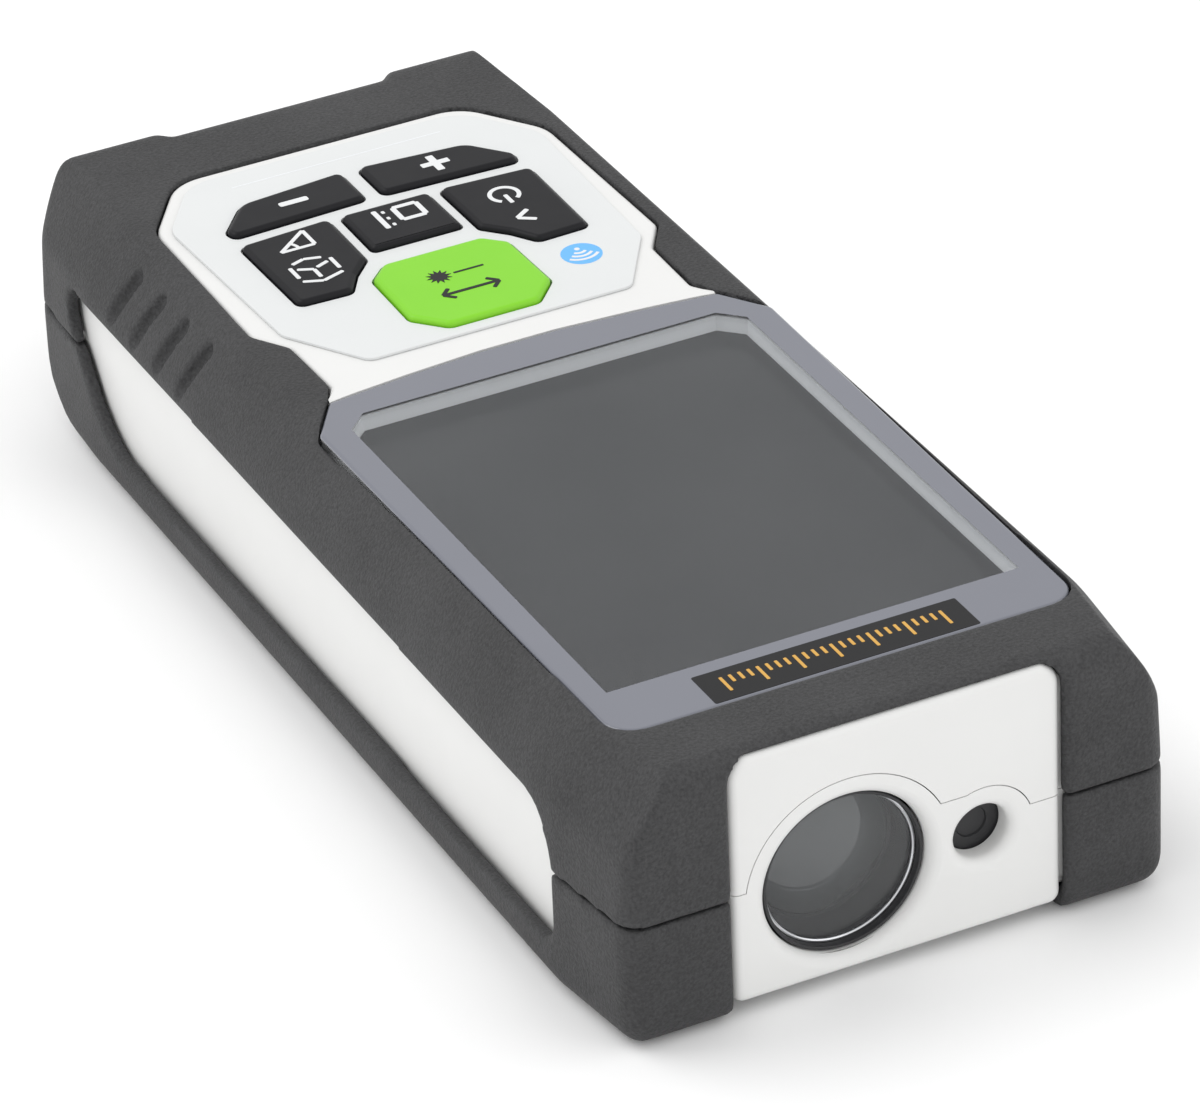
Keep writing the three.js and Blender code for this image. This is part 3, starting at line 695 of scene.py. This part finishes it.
# A round opening through the front face: a bore whose mouth rolls outwards on a quarter-round.
def mouthCutter(spot, rim, inner):
    bore = spot["bore"]
    mouth = [(bore + rim - rim * math.sin(a), faceY + rim - rim * math.cos(a)) for a in quarterTurn(8)]
    outside = [(0, -pastY), (bore + rim, -pastY), (bore + rim, faceY - 0.02)]
    return turnedY(outside + mouth[1:] + [(bore, inner), (0, inner)], spot["x"], spot["z"], 96)


def boreCuts():
    return cutters(mouthCutter(lensSpot, housing["lensRim"], -51.2),
                   mouthCutter(laserSpot, housing["laserRim"], -60))


# The lower half's share of the front: it rises round the lens and the laser outlet. The solids' rear ends
# differ a little in depth, to join cleanly.
def seamZone(grow):
    lensX, laserX = lensSpot["x"], laserSpot["x"]
    base = block(-pastX, pastX, -61.5, pastY, below, body["housingSplit"] + grow)
    front = block(-pastX, pastX, -pastY, -61.4, below, body["split"] + grow)
    lensRise = rodY(lensSpot["seam"] + grow, lensX, lensSpot["z"], -pastY, -61.45, 96)
    laserRise = rodY(laserSpot["seam"] + grow, laserX, laserSpot["z"], -pastY, -61.45)
    between = block(lensX, laserX, -pastY, -61.42, -4, 16.1 + grow)
    return combined(base, *joiners(front, lensRise, laserRise, between))


# The white front face, a block with a rounded front edge.
def faceBlock():
    loop = roundedLoop([(-faceHalf, 1.5, 1.2), (faceHalf, 1.5, 1.2), (faceHalf, faceTop, faceRound),
                        (-faceHalf, faceTop, faceRound)], 8, 6)
    r = housing["faceEdge"]
    front = [(r * (1 - math.sin(a)), faceY + r * (1 - math.cos(a))) for a in quarterTurn(6)]
    return moulded(loop, [(r + 0.1, faceY)] + front + [(0, -63.72)], "y")


keyTop, keyFoot = 28.4, 24.9
plusCorners = [(0.95, 41.5, 0.8), (15.3, 40.9, 0.8), (15.6, 42.3, 1), (12.2, 46.5, 2.5), (0.95, 47.5, 0.8)]
clearCorners = [(8.3, 28.2, 0.6), (10, 25.5, 0.9), (15.5, 25.7, 0.8), (15.7, 38.9, 0.8), (6, 39.5, 0.8),
                (6.1, 30.6, 0.8)]

keyOutlines = {
    "key_plus": plusCorners,
    "key_minus": mirrorCorners(plusCorners),
    "key_clear_off": clearCorners,
    "key_angle": mirrorCorners(clearCorners),
    "key_reference": [(-4.8, 31.7, 0.5), (4.8, 31.7, 0.5), (4.7, 39.4, 0.7), (-4.7, 39.4, 0.7)],
    "key_measure": mirrored([(4.7, 14.8, 1.2), (7.5, 17.9, 1), (7.3, 26.5, 1), (5.2, 28.6, 1.2)]),
}
filmCorners = mirrored([(13.9, 13.3, 1.5), (19.2, 21.7, 2), (20.1, 45.6, 4), (14.8, 53.4, 5)])


def keyHoles(grow):
    outlines = keyOutlines.values()
    return cutters(*[prism(roundedLoop(insetCorners(c, -grow), 6), 20, above) for c in outlines])


def buildHousing():
    h = housing
    seam, splitZ = h["seamGap"] / 2, body["housingSplit"]
    hollow = bodyForm(housingInset + body["wall"])
    shell = combined(bodyForm(housingInset), *joiners(faceBlock()), *cutters(hollow))
    lower = combined(shell, *joiners(*screwRods(h["boss"], 3, splitZ - 0.3)),
                     *cutters(*screwRods(h["screwHead"], below, 3.1), *screwRods(h["lowerBore"], 0, above)),
                     *boreCuts(), *doorCut, ("INTERSECT", seamZone(-seam)))
    addPiece("lower_shell", split(lower), "housing", "white_shell", ["lower_housing"])
    deck = moulded(roundedLoop(deckCorners, 8), softEdge(25.6, deckTop, h["deckEdge"]))
    bosses = combined(bodyForm(housingInset), ("INTERSECT", together(screwRods(h["boss"], splitZ + 0.3, 25))))
    boardSpots = [(-h["boardX"], h["boardY"]), (h["boardX"], h["boardY"])]
    boardBosses = [rodZ(h["boardBoss"], x, y, 21.9, 25.5) for x, y in boardSpots]
    boardBores = [rodZ(h["upperBore"], x, y, 10, 24) for x, y in boardSpots]
    opening = block(-21.6, 21.6, -51, 6.4, 20, above)
    pocket = prism(roundedLoop(insetCorners(filmCorners, 0.8), 4), 20, 25.9)
    seat = prism(roundedLoop(insetCorners(windowCorners, -h["seatGap"]), 6), deckTop - 1.5, above)
    upper = combined(shell, *joiners(deck), *cutters(opening, pocket, seat), *joiners(bosses, *boardBosses),
                     *cutters(seamZone(seam)), *boreCuts(),
                     *cutters(*screwRods(h["upperBore"], 0, 24), *boardBores), *keyHoles(h["keyGap"]))
    addPiece("upper_shell", split(upper), "housing", "white_shell", ["upper_housing"])


buildHousing()
print("housing done")


# A plan rectangle whose two rear corners are cut off by the chamfer.
def rectangle(halfWidth, front, rear, chamfer=0.0):
    c = chamfer
    ends = [(halfWidth, rear - c), (halfWidth - c, rear)] if c else [(halfWidth, rear)]
    return [(-halfWidth, front), (halfWidth, front)] + ends + [(-x, y) for x, y in ends[::-1]]


# The clear field's outline, grown by a distance.
def clearLoop(grow):
    d = display
    chamfer = d["chamfer"] + grow * 0.6
    return np.array(rectangle(d["halfWidth"] + grow, d["front"] - grow, d["rear"] + grow, chamfer))


# Heights of the display and of the pale frame round it.
lcd = dict(top=25.75, low=21.9, frameTop=27.18, frameLow=25.3, flange=26.1, lip=0.12, clearThick=0.4)


def buildDisplay():
    loop = roundedLoop(windowCorners, 8, 4)
    plate = combined(moulded(loop, softEdge(deckTop - 1.2, deckTop, 0.3)),
                     *cutters(prism(clearLoop(0.4), 25, deckTop - lcd["clearThick"])))
    normals = np.zeros(len(plate.polygons) * 3)
    plate.polygons.foreach_get("normal", normals)
    under = (normals[2::3] < 0.15).astype(np.int32)  # the foot and walls of the plate are clear
    plate.polygons.foreach_set("material_index", under)
    addPiece("cover_window", plate, "housing", "window_clear", ["display_window"],
             ["window_clear", "clear_plastic"])
    field = rectangle(display["halfWidth"] - 0.05, display["front"] + 0.05, display["rear"] - 0.05,
                      display["chamfer"])
    glass = moulded(np.array(field), softEdge(lcd["low"], lcd["top"], 0.15))
    addPiece("lcd_glass", glass, "housing", "lcd_face", ["lcd_module"])
    flange = moulded(np.array(rectangle(21.3, -50.7, 6.1)), softEdge(lcd["frameLow"], lcd["flange"], 0.1))
    outer = combined(flange, *joiners(prism(clearLoop(0.35), lcd["flange"] - 0.2, lcd["frameTop"])))
    levels = [(0.0, lcd["frameLow"] - 1), (0.0, lcd["frameLow"]), (lcd["lip"], lcd["frameTop"]),
              (0.2, lcd["frameTop"] + 1)]
    well = ringMesh([np.column_stack([clearLoop(g), np.full(6, z)]) for g, z in levels])
    # The frame's finish carries a faint painted glow that stands in for light reaching it under the cover.
    addPiece("light_frame", combined(outer, *cutters(well)), "housing", "frame_plastic", ["lcd_frame"])


buildDisplay()
print("display done")


# A straight mark of the given width with small round ends.
def mark(x0, y0, x1, y1, width):
    a, b = np.array([x0, y0], float), np.array([x1, y1], float)
    along = (b - a) / np.linalg.norm(b - a)
    side = np.array([-along[1], along[0]]) * width / 2
    corners = [tuple(k) + (width * 0.3,) for k in (a - side, b - side, b + side, a + side)]
    return roundedLoop(corners, 3)


# A part of a ring from angle a0 to a1, in degrees.
def ringMark(x, y, r, width, a0, a1, steps=28):
    t = np.radians(np.linspace(a0, a1, steps))
    outer = np.column_stack([x + (r + width / 2) * np.cos(t), y + (r + width / 2) * np.sin(t)])
    inner = np.column_stack([x + (r - width / 2) * np.cos(t[::-1]), y + (r - width / 2) * np.sin(t[::-1])])
    return np.concatenate([outer, inner])


def disc(x, y, r, steps=48):
    t = fullTurn(steps)
    return np.column_stack([x + r * np.cos(t), y + r * np.sin(t)])


# A burst of short rays: the radius swings between two values round the circle.
def burst(x, y, inner, outer, rays):
    t = fullTurn(rays * 2)
    r = np.where(np.arange(rays * 2) % 2, inner, outer)
    return np.column_stack([x + r * np.cos(t), y + r * np.sin(t)])


# A chain of marks through a list of points.
def chain(points, width):
    return [mark(*a, *b, width) for a, b in zip(points[:-1], points[1:])]


# Prints are thin flat shapes, a few hundredths of a millimetre proud of the face they are on.
def printed(loops, top, proud, index, sunk=0.12):
    return [painted(prism(loop, top - sunk, top + proud), index) for loop in loops]


# The drawings on the keys, from line widths and the points that each line runs through.
line, bold, fine = 0.42, 0.55, 0.35
plusSign = [(7.45, 42.6, 0.1), (8.25, 42.6, 0.1), (8.25, 43.78, 0.05), (9.35, 43.78, 0.1),
            (9.35, 44.56, 0.1), (8.25, 44.56, 0.05), (8.25, 45.75, 0.1), (7.45, 45.75, 0.1),
            (7.45, 44.56, 0.05), (6.35, 44.56, 0.1), (6.35, 43.78, 0.1), (7.45, 43.78, 0.05)]
triangle = chain([(-12.9, 35.4), (-9.3, 35.4), (-9.3, 38.4), (-12.9, 35.4)], line)
cubeLines = [[(-13.5, 29.2), (-11.6, 28.4), (-9.2, 29.2)], [(-9.2, 29.9), (-9.2, 32.2)],
             [(-9.9, 32.7), (-11.6, 33.2), (-13.0, 32.7)], [(-13.5, 32.2), (-13.5, 29.9)],
             [(-11.5, 29.2), (-11.5, 30.9), (-13.0, 31.6)], [(-11.1, 31.1), (-9.7, 31.7)]]
cube = [m for points in cubeLines for m in chain(points, line)]
square = chain([(0.2, 35.4), (2.7, 35.4), (2.7, 38.0), (0.2, 38.0), (0.2, 35.4)], bold)
dots = [mark(-0.95, y, -0.95, y + 0.5, fine) for y in (34.75, 36.1, 37.4)]
chevron = chain([(11.5, 28.9), (9.9, 30.0), (11.5, 31.1)], 0.5)
arrowEnds = [m for s in (-1, 1) for m in chain([(s * 2.0, 18.9), (s * 3.0, 19.9), (s * 2.0, 20.9)], line)]
icons = {
    "key_plus": [roundedLoop(plusSign, 3)],
    "key_minus": [mark(-9.1, 44.15, -6.0, 44.15, 0.8)],
    "key_angle": triangle + [ringMark(-12.9, 35.4, 1.9, fine, 6, 34, 10)] + cube,
    "key_reference": [mark(-1.75, 34.5, -1.75, 38.3, bold)] + square + dots,
    "key_clear_off": [ringMark(10.9, 34.9, 1.45, 0.45, -55, 235), mark(10.9, 33.0, 10.9, 34.8, 0.45)]
    + chevron,
    "key_measure": [burst(-1.75, 23.4, 0.75, 1.3, 12), mark(-0.2, 23.4, 3.0, 23.4, 0.28),
                    mark(-2.9, 19.9, 2.9, 19.9, line)] + arrowEnds,
}


# Joins overlapping print shapes into one shell, so that no faces cross.
def fused(meshes):
    return combined(meshes[0], *joiners(*meshes[1:])) if len(meshes) > 1 else meshes[0]


# The keys: edge radius, width of the hidden flange, and how proud the drawings are.
keycap = dict(edge=0.5, flange=0.6, proud=0.03)


def buildKeys():
    k = keycap
    step = keyFoot + k["flange"]
    foot = [(-k["flange"], keyFoot), (-k["flange"], step - 0.02)]
    profile = foot + softEdge(step, keyTop, k["edge"], steps=6)
    for name, corners in keyOutlines.items():
        cap = painted(moulded(roundedLoop(corners, 8, 3), profile), 0)
        look = "key_green" if name == "key_measure" else "key_dark"
        ink = "label_black" if name == "key_measure" else "print_white"
        drawing = painted(fused(printed(icons[name], keyTop, k["proud"], 1)), 1)
        addPiece(name + "_cap", together([cap, drawing]), name + "_body", look, [name], [look, ink])


# The keypad film, the place and radius of its blue badge, and the radii of the badge's arcs.
film = dict(low=27.65, top=27.9, edge=0.08, keyGap=0.22, badge=(12.5, 21.3, 2.05), arcs=(0.85, 1.5, 2.15))


def buildFilm():
    top = film["top"]
    sheet = moulded(roundedLoop(filmCorners, 8, 3), softEdge(film["low"], top, film["edge"], steps=2))
    sheet = painted(combined(sheet, *keyHoles(film["keyGap"])), 0)
    x, y, r = film["badge"]
    badge = painted(prism(disc(x, y, r), top - 0.1, top + 0.02), 1)
    waves = [ringMark(x, y + 1.0, k, 0.32, -135, -45) for k in film["arcs"]]
    marks = printed([disc(x, y + 1.0, 0.27, 20)] + waves, top, 0.04, 2, 0.05)
    # The rule has the frame plastic finish, so it carries the same faint painted glow.
    rule = printed([mark(-11.3, 50.6, 11.5, 50.6, 0.12)], top, 0.015, 3)
    whole = together([sheet, badge] + marks + rule)
    addPiece("keypad_sheet", whole, "housing", "keypad_film", ["keypad_film"],
             ["keypad_film", "print_blue", "print_white", "frame_plastic"])


label = dict(half=13.3, front=-56.3, rear=-51.4, low=27.45, top=27.64, ticks=25, pitch=0.92, longTick=2.4,
             shortTick=1.2, tickWide=0.32)


# The plain black plate beside the display carries a scale of short gold ticks.
def buildLabel():
    b = label
    loop = roundedLoop(boxCorners(-b["half"], b["front"], b["half"], b["rear"], 0.2), 3)
    plate = painted(moulded(loop, [(0, b["low"]), (0, b["top"] - 0.02), (0.03, b["top"])]), 0)
    tickEnd = (b["front"] + b["rear"] + b["longTick"]) / 2
    count = np.arange(b["ticks"])
    spots = (count - (b["ticks"] - 1) / 2) * b["pitch"]
    lengths = np.where(count % 4 == 0, b["longTick"], b["shortTick"])
    ticks = [mark(x, tickEnd - n, x, tickEnd, b["tickWide"]) for x, n in zip(spots, lengths)]
    scale = printed(ticks, b["top"], 0.015, 1, 0.03)
    addPiece("display_label", together([plate] + scale), "housing", "window_clear", [],
             ["label_black", "print_gold"])


buildKeys()
buildFilm()
buildLabel()
print("keys, film and label done")

# The lens end: depths along Y, and the lens's radius and dome.
optics = dict(barrelFront=-63.55, ringY=-62.75, glassY=-62.5, lensY=-60.4, lensRadius=6.75, lensDome=1.3,
              laserY=-62.2)


def buildOptics():
    o = optics
    x, z = lensSpot["x"], lensSpot["z"]
    front = o["barrelFront"]
    wall = [(7.72, front + 0.05), (7.76, front), (7.98, front), (8.03, front + 0.06), (8.03, -51.8),
            (6.9, -51.8), (6.9, -59.0), (7.25, -59.0), (7.3, -62.4), (7.72, -62.4), (7.72, front + 0.05)]
    barrel = turnedY(wall, x, z, 96)
    addPiece("lens_tube", barrel, "housing", "dark_plastic", ["lens_barrel"])
    face = o["ringY"]
    ring = turnedY([(7.52, face), (7.66, face), (7.68, face + 0.3), (7.4, face + 0.3), (7.4, face + 0.1),
                    (7.52, face)], x, z, 96)
    glass = rodY(7.35, x, z, o["glassY"], o["glassY"] + 0.15, 96)
    addPiece("front_glass_ring", together([painted(ring, 0), painted(glass, 1)]), "housing", "bright_steel",
             ["lens_ring"], ["bright_steel", "clear_plastic"])
    dome = [(o["lensRadius"] * k, o["lensY"] + o["lensDome"] * k * k) for k in np.linspace(0, 1, 12)]
    lens = turnedY(dome + [(o["lensRadius"], -58.6), (0, -58.4)], x, z, 96)
    addPiece("receiver_lens_glass", lens, "housing", "lens_glass", ["receiver_lens"])
    x, z = laserSpot["x"], laserSpot["z"]
    back, face = -61.4, o["laserY"]
    outlet = turnedY([(0, face + 0.25), (1.5, face + 0.2), (1.6, face), (3.5, face), (3.5, back), (0, back)],
                     x, z, 48)
    addPiece("laser_outlet", outlet, "housing", "lens_glass", ["laser_window"], ["dark_plastic"])


buildOptics()
print("optics done")

# The door's thumb pad: a grooved outline, three ribs and an arrow.
pad = dict(half=8.0, front=36.5, rear=49.6, groove=0.6, depth=0.55, ribs=(43.0, 45.0, 47.0), ribHalf=5.0,
           ribWide=0.8)


def buildDoor():
    d, p = door, pad
    loop = roundedLoop([(-d["half"], d["front"], 0.8), (d["half"], d["front"], 0.8),
                        (d["half"], d["rear"], 1.5), (-d["half"], d["rear"], 1.5)], 6, 2)
    plate = moulded(loop, [(0.6, d["low"])] + softEdge(d["low"], d["high"], 0.2, 0.5))
    half = p["ribHalf"]
    bars = [roundedLoop(boxCorners(-half, y, half, y + p["ribWide"], 0.35), 4) for y in p["ribs"]]
    ribs = [moulded(bar, [(0.3, 0.1), (0.12, 0.14), (0, 0.3), (0, 0.8)]) for bar in bars]
    arrow = prism([(-1.6, 38.6), (1.6, 38.6), (0, 41.2)], -1, 0.5)
    outer = boxCorners(-p["half"], p["front"], p["half"], p["rear"], 1.5)
    inner = boxCorners(-p["half"] + p["groove"], p["front"] + p["groove"], p["half"] - p["groove"],
                       p["rear"] - p["groove"], 1)
    field = prism(roundedLoop(inner, 5), -2, 2)
    groove = combined(prism(roundedLoop(outer, 5), -1, p["depth"]), *cutters(field))
    cover = combined(plate, *cutters(groove, arrow), *joiners(*ribs))
    addPiece("battery_cover", cover, "battery_door_body", "door_plastic", ["battery_door"])


# Case screws: radii and heights of the head, the cross recess and the thread.
screw = dict(head=2.2, low=1.7, neck=2.8, tip=23.0, crest=1.1, root=0.88, threadLow=5.0, pitch=0.5, turns=35,
             slotHalf=1.25, slotWide=0.44, slotTop=2.35)


def buildScrews():
    k = screw
    low, high = k["low"], k["slotTop"]
    radii = [k["root"], k["crest"]] * k["turns"]
    thread = [(r, k["threadLow"] + i * k["pitch"] / 2) for i, r in enumerate(radii)]
    head = [(0, low), (1.5, low), (2.05, low + 0.15), (k["head"], low + 0.45), (k["head"], k["neck"]),
            (1.0, k["neck"])]
    profile = head + thread + [(0.3, k["tip"]), (0, k["tip"])]
    long, wide = k["slotHalf"], k["slotWide"] / 2
    for i, (x, y) in enumerate(screwSpots):
        cross = cutters(block(x - long, x + long, y - wide, y + wide, 1, high),
                        block(x - wide, x + wide, y - long, y + long, 1, high))
        made = combined(turnedZ(profile, x, y, 40), *cross)
        addPiece(f"case_screw_{i + 1}", made, "housing", "bright_steel", [f"housing_screw_{i + 1}"])


# The three cells: bare metal at both ends, and a gold band at the flat end of the sleeve.
cell = dict(radius=5.25, length=44.5, front=5.2, z=8.0, pitch=11.2, band=12.0)


def buildCells():
    c = cell
    rear = c["front"] + c["length"]
    r = c["radius"]
    foot = [(r - 0.5 + 0.5 * math.sin(a), c["front"] + 0.5 - 0.5 * math.cos(a)) for a in quarterTurn(4)]
    crimp = [(r, rear - 1.5), (r - 0.15, rear - 1.2), (r - 0.5, rear - 1.0), (r - 1.0, rear - 0.95)]
    knob = [(1.95, rear - 0.9), (1.9, rear - 0.15), (1.75, rear), (0, rear)]
    sleeve = [(r, c["front"] + 1.2), (r, c["front"] + 1.3), (r, c["front"] + c["band"])]
    profile = [(0, c["front"])] + foot + sleeve + crimp + knob
    for i in range(3):
        made = turnedY(profile, (i - 1) * c["pitch"], c["z"], 64)
        centres = np.zeros(len(made.polygons) * 3)
        made.polygons.foreach_get("center", centres)
        along = centres[1::3] / mm - layoutShift[1]
        metal = (along < c["front"] + 1.2) | (along > rear - 1.15)
        band = (along > c["front"] + 1.2) & (along < c["front"] + c["band"])
        index = np.where(metal, 1, np.where(band, 2, 0)).astype(np.int32)
        made.polygons.foreach_set("material_index", index)
        addPiece(f"cell_{i + 1}", made, "housing", "cell_sleeve", [f"battery_{i + 1}"],
                 ["cell_sleeve", "bright_steel", "print_gold"])


# A battery spring: radii at both ends, length, wire radius and turns.
spring = dict(wide=3.6, narrow=2.0, long=1.6, wire=0.25, turns=2.5)


# A coil: a circle of wire carried along the helix (r cos a, y, r sin a), narrowing towards the cell.
def buildSprings():
    k = spring
    t, turn = np.linspace(0, 1, 110), fullTurn(12)
    angle, radius = t * 2 * math.pi * k["turns"], k["wide"] - (k["wide"] - k["narrow"]) * t
    path = np.stack([radius * np.cos(angle), door["front"] + 0.7 + k["long"] * t, radius * np.sin(angle)], 1)
    along = np.gradient(path, axis=0)
    along /= np.linalg.norm(along, axis=1)[:, None]
    out = np.stack([np.cos(angle), 0 * angle, np.sin(angle)], 1)
    out -= (out * along).sum(1)[:, None] * along
    out /= np.linalg.norm(out, axis=1)[:, None]
    side = np.cross(along, out)
    across = np.cos(turn)[None, :, None] * out[:, None] + np.sin(turn)[None, :, None] * side[:, None]
    skin = path[:, None] + k["wire"] * across
    for i in range(3):
        coil = ringMesh(skin + np.array([(i - 1) * cell["pitch"], 0, cell["z"]]))
        addPiece(f"contact_spring_{i + 1}", coil, "housing", "bright_steel", [f"battery_spring_{i + 1}"])


buildDoor()
buildScrews()
buildCells()
buildSprings()
print("battery bay done")

# The floor's half-width in metres and its tone, and the strength of the surroundings.
studio = dict(floorHalf=4.0, floor=0.97, world=0.93)
# Square lamps: place and side in metres, power in watts.
lamps = {
    "key": dict(place=(-0.45, 0.35, 0.75), size=0.6, power=2.4),
    "fill": dict(place=(0.6, -0.5, 0.6), size=0.8, power=1.3),
}
view = dict(place=(-0.268994, -0.571028, 0.395157), turn=(1.020539, 0.037125, -0.467575),
            lens=233.3, sensor=36)


def addLight(name, place, size, power, aim=(0, 0, 0.01)):
    data = bpy.data.lights.new(name, "AREA")
    data.shape, data.size, data.energy = "SQUARE", size, power
    ob = bpy.data.objects.new(name, data)
    scene.collection.objects.link(ob)
    ob.location = place
    ob.rotation_euler = (Vector(aim) - Vector(place)).to_track_quat("-Z", "Y").to_euler()


def buildStudio():
    floorMesh = bpy.data.meshes.new("floor")
    s = studio["floorHalf"]
    floorMesh.from_pydata([(-s, -s, 0), (s, -s, 0), (s, s, 0), (-s, s, 0)], [], [(0, 1, 2, 3)])
    floor = bpy.data.objects.new("floor", floorMesh)
    scene.collection.objects.link(floor)
    f = Finish("floor", Roughness=0.9)
    f.set(Base_Color=f.blend(f.noise(300, 2), (studio["floor"],) * 3, (studio["floor"] * 1.02,) * 3))
    floorMesh.materials.append(f.material)
    world = bpy.data.worlds.new("studio")
    world.use_nodes = True
    sky = world.node_tree.nodes["Background"]
    sky.inputs["Color"].default_value = (1, 1, 1, 1)
    sky.inputs["Strength"].default_value = studio["world"]
    scene.world = world
    for name, lamp in lamps.items():
        addLight(name, **lamp)
    scene.view_settings.view_transform = "Standard"


def buildCamera():
    data = bpy.data.cameras.new("camera")
    data.lens, data.sensor_width, data.clip_end = view["lens"], view["sensor"], 10
    ob = bpy.data.objects.new("camera", data)
    ob.location = view["place"]
    ob.rotation_euler = view["turn"]
    scene.collection.objects.link(ob)
    scene.camera = ob


buildStudio()
buildCamera()
print("studio done")

# The parts that keep their own shape get the finish of their slot.
for name, ob in frame["nodes"].items():
    slotName = next(s["material_slot"] for s in frame["record"]["subparts"] if s["node"] == name)
    for materialSlot in ob.material_slots:
        materialSlot.link = "OBJECT"
        materialSlot.material = finishes[slotName].material
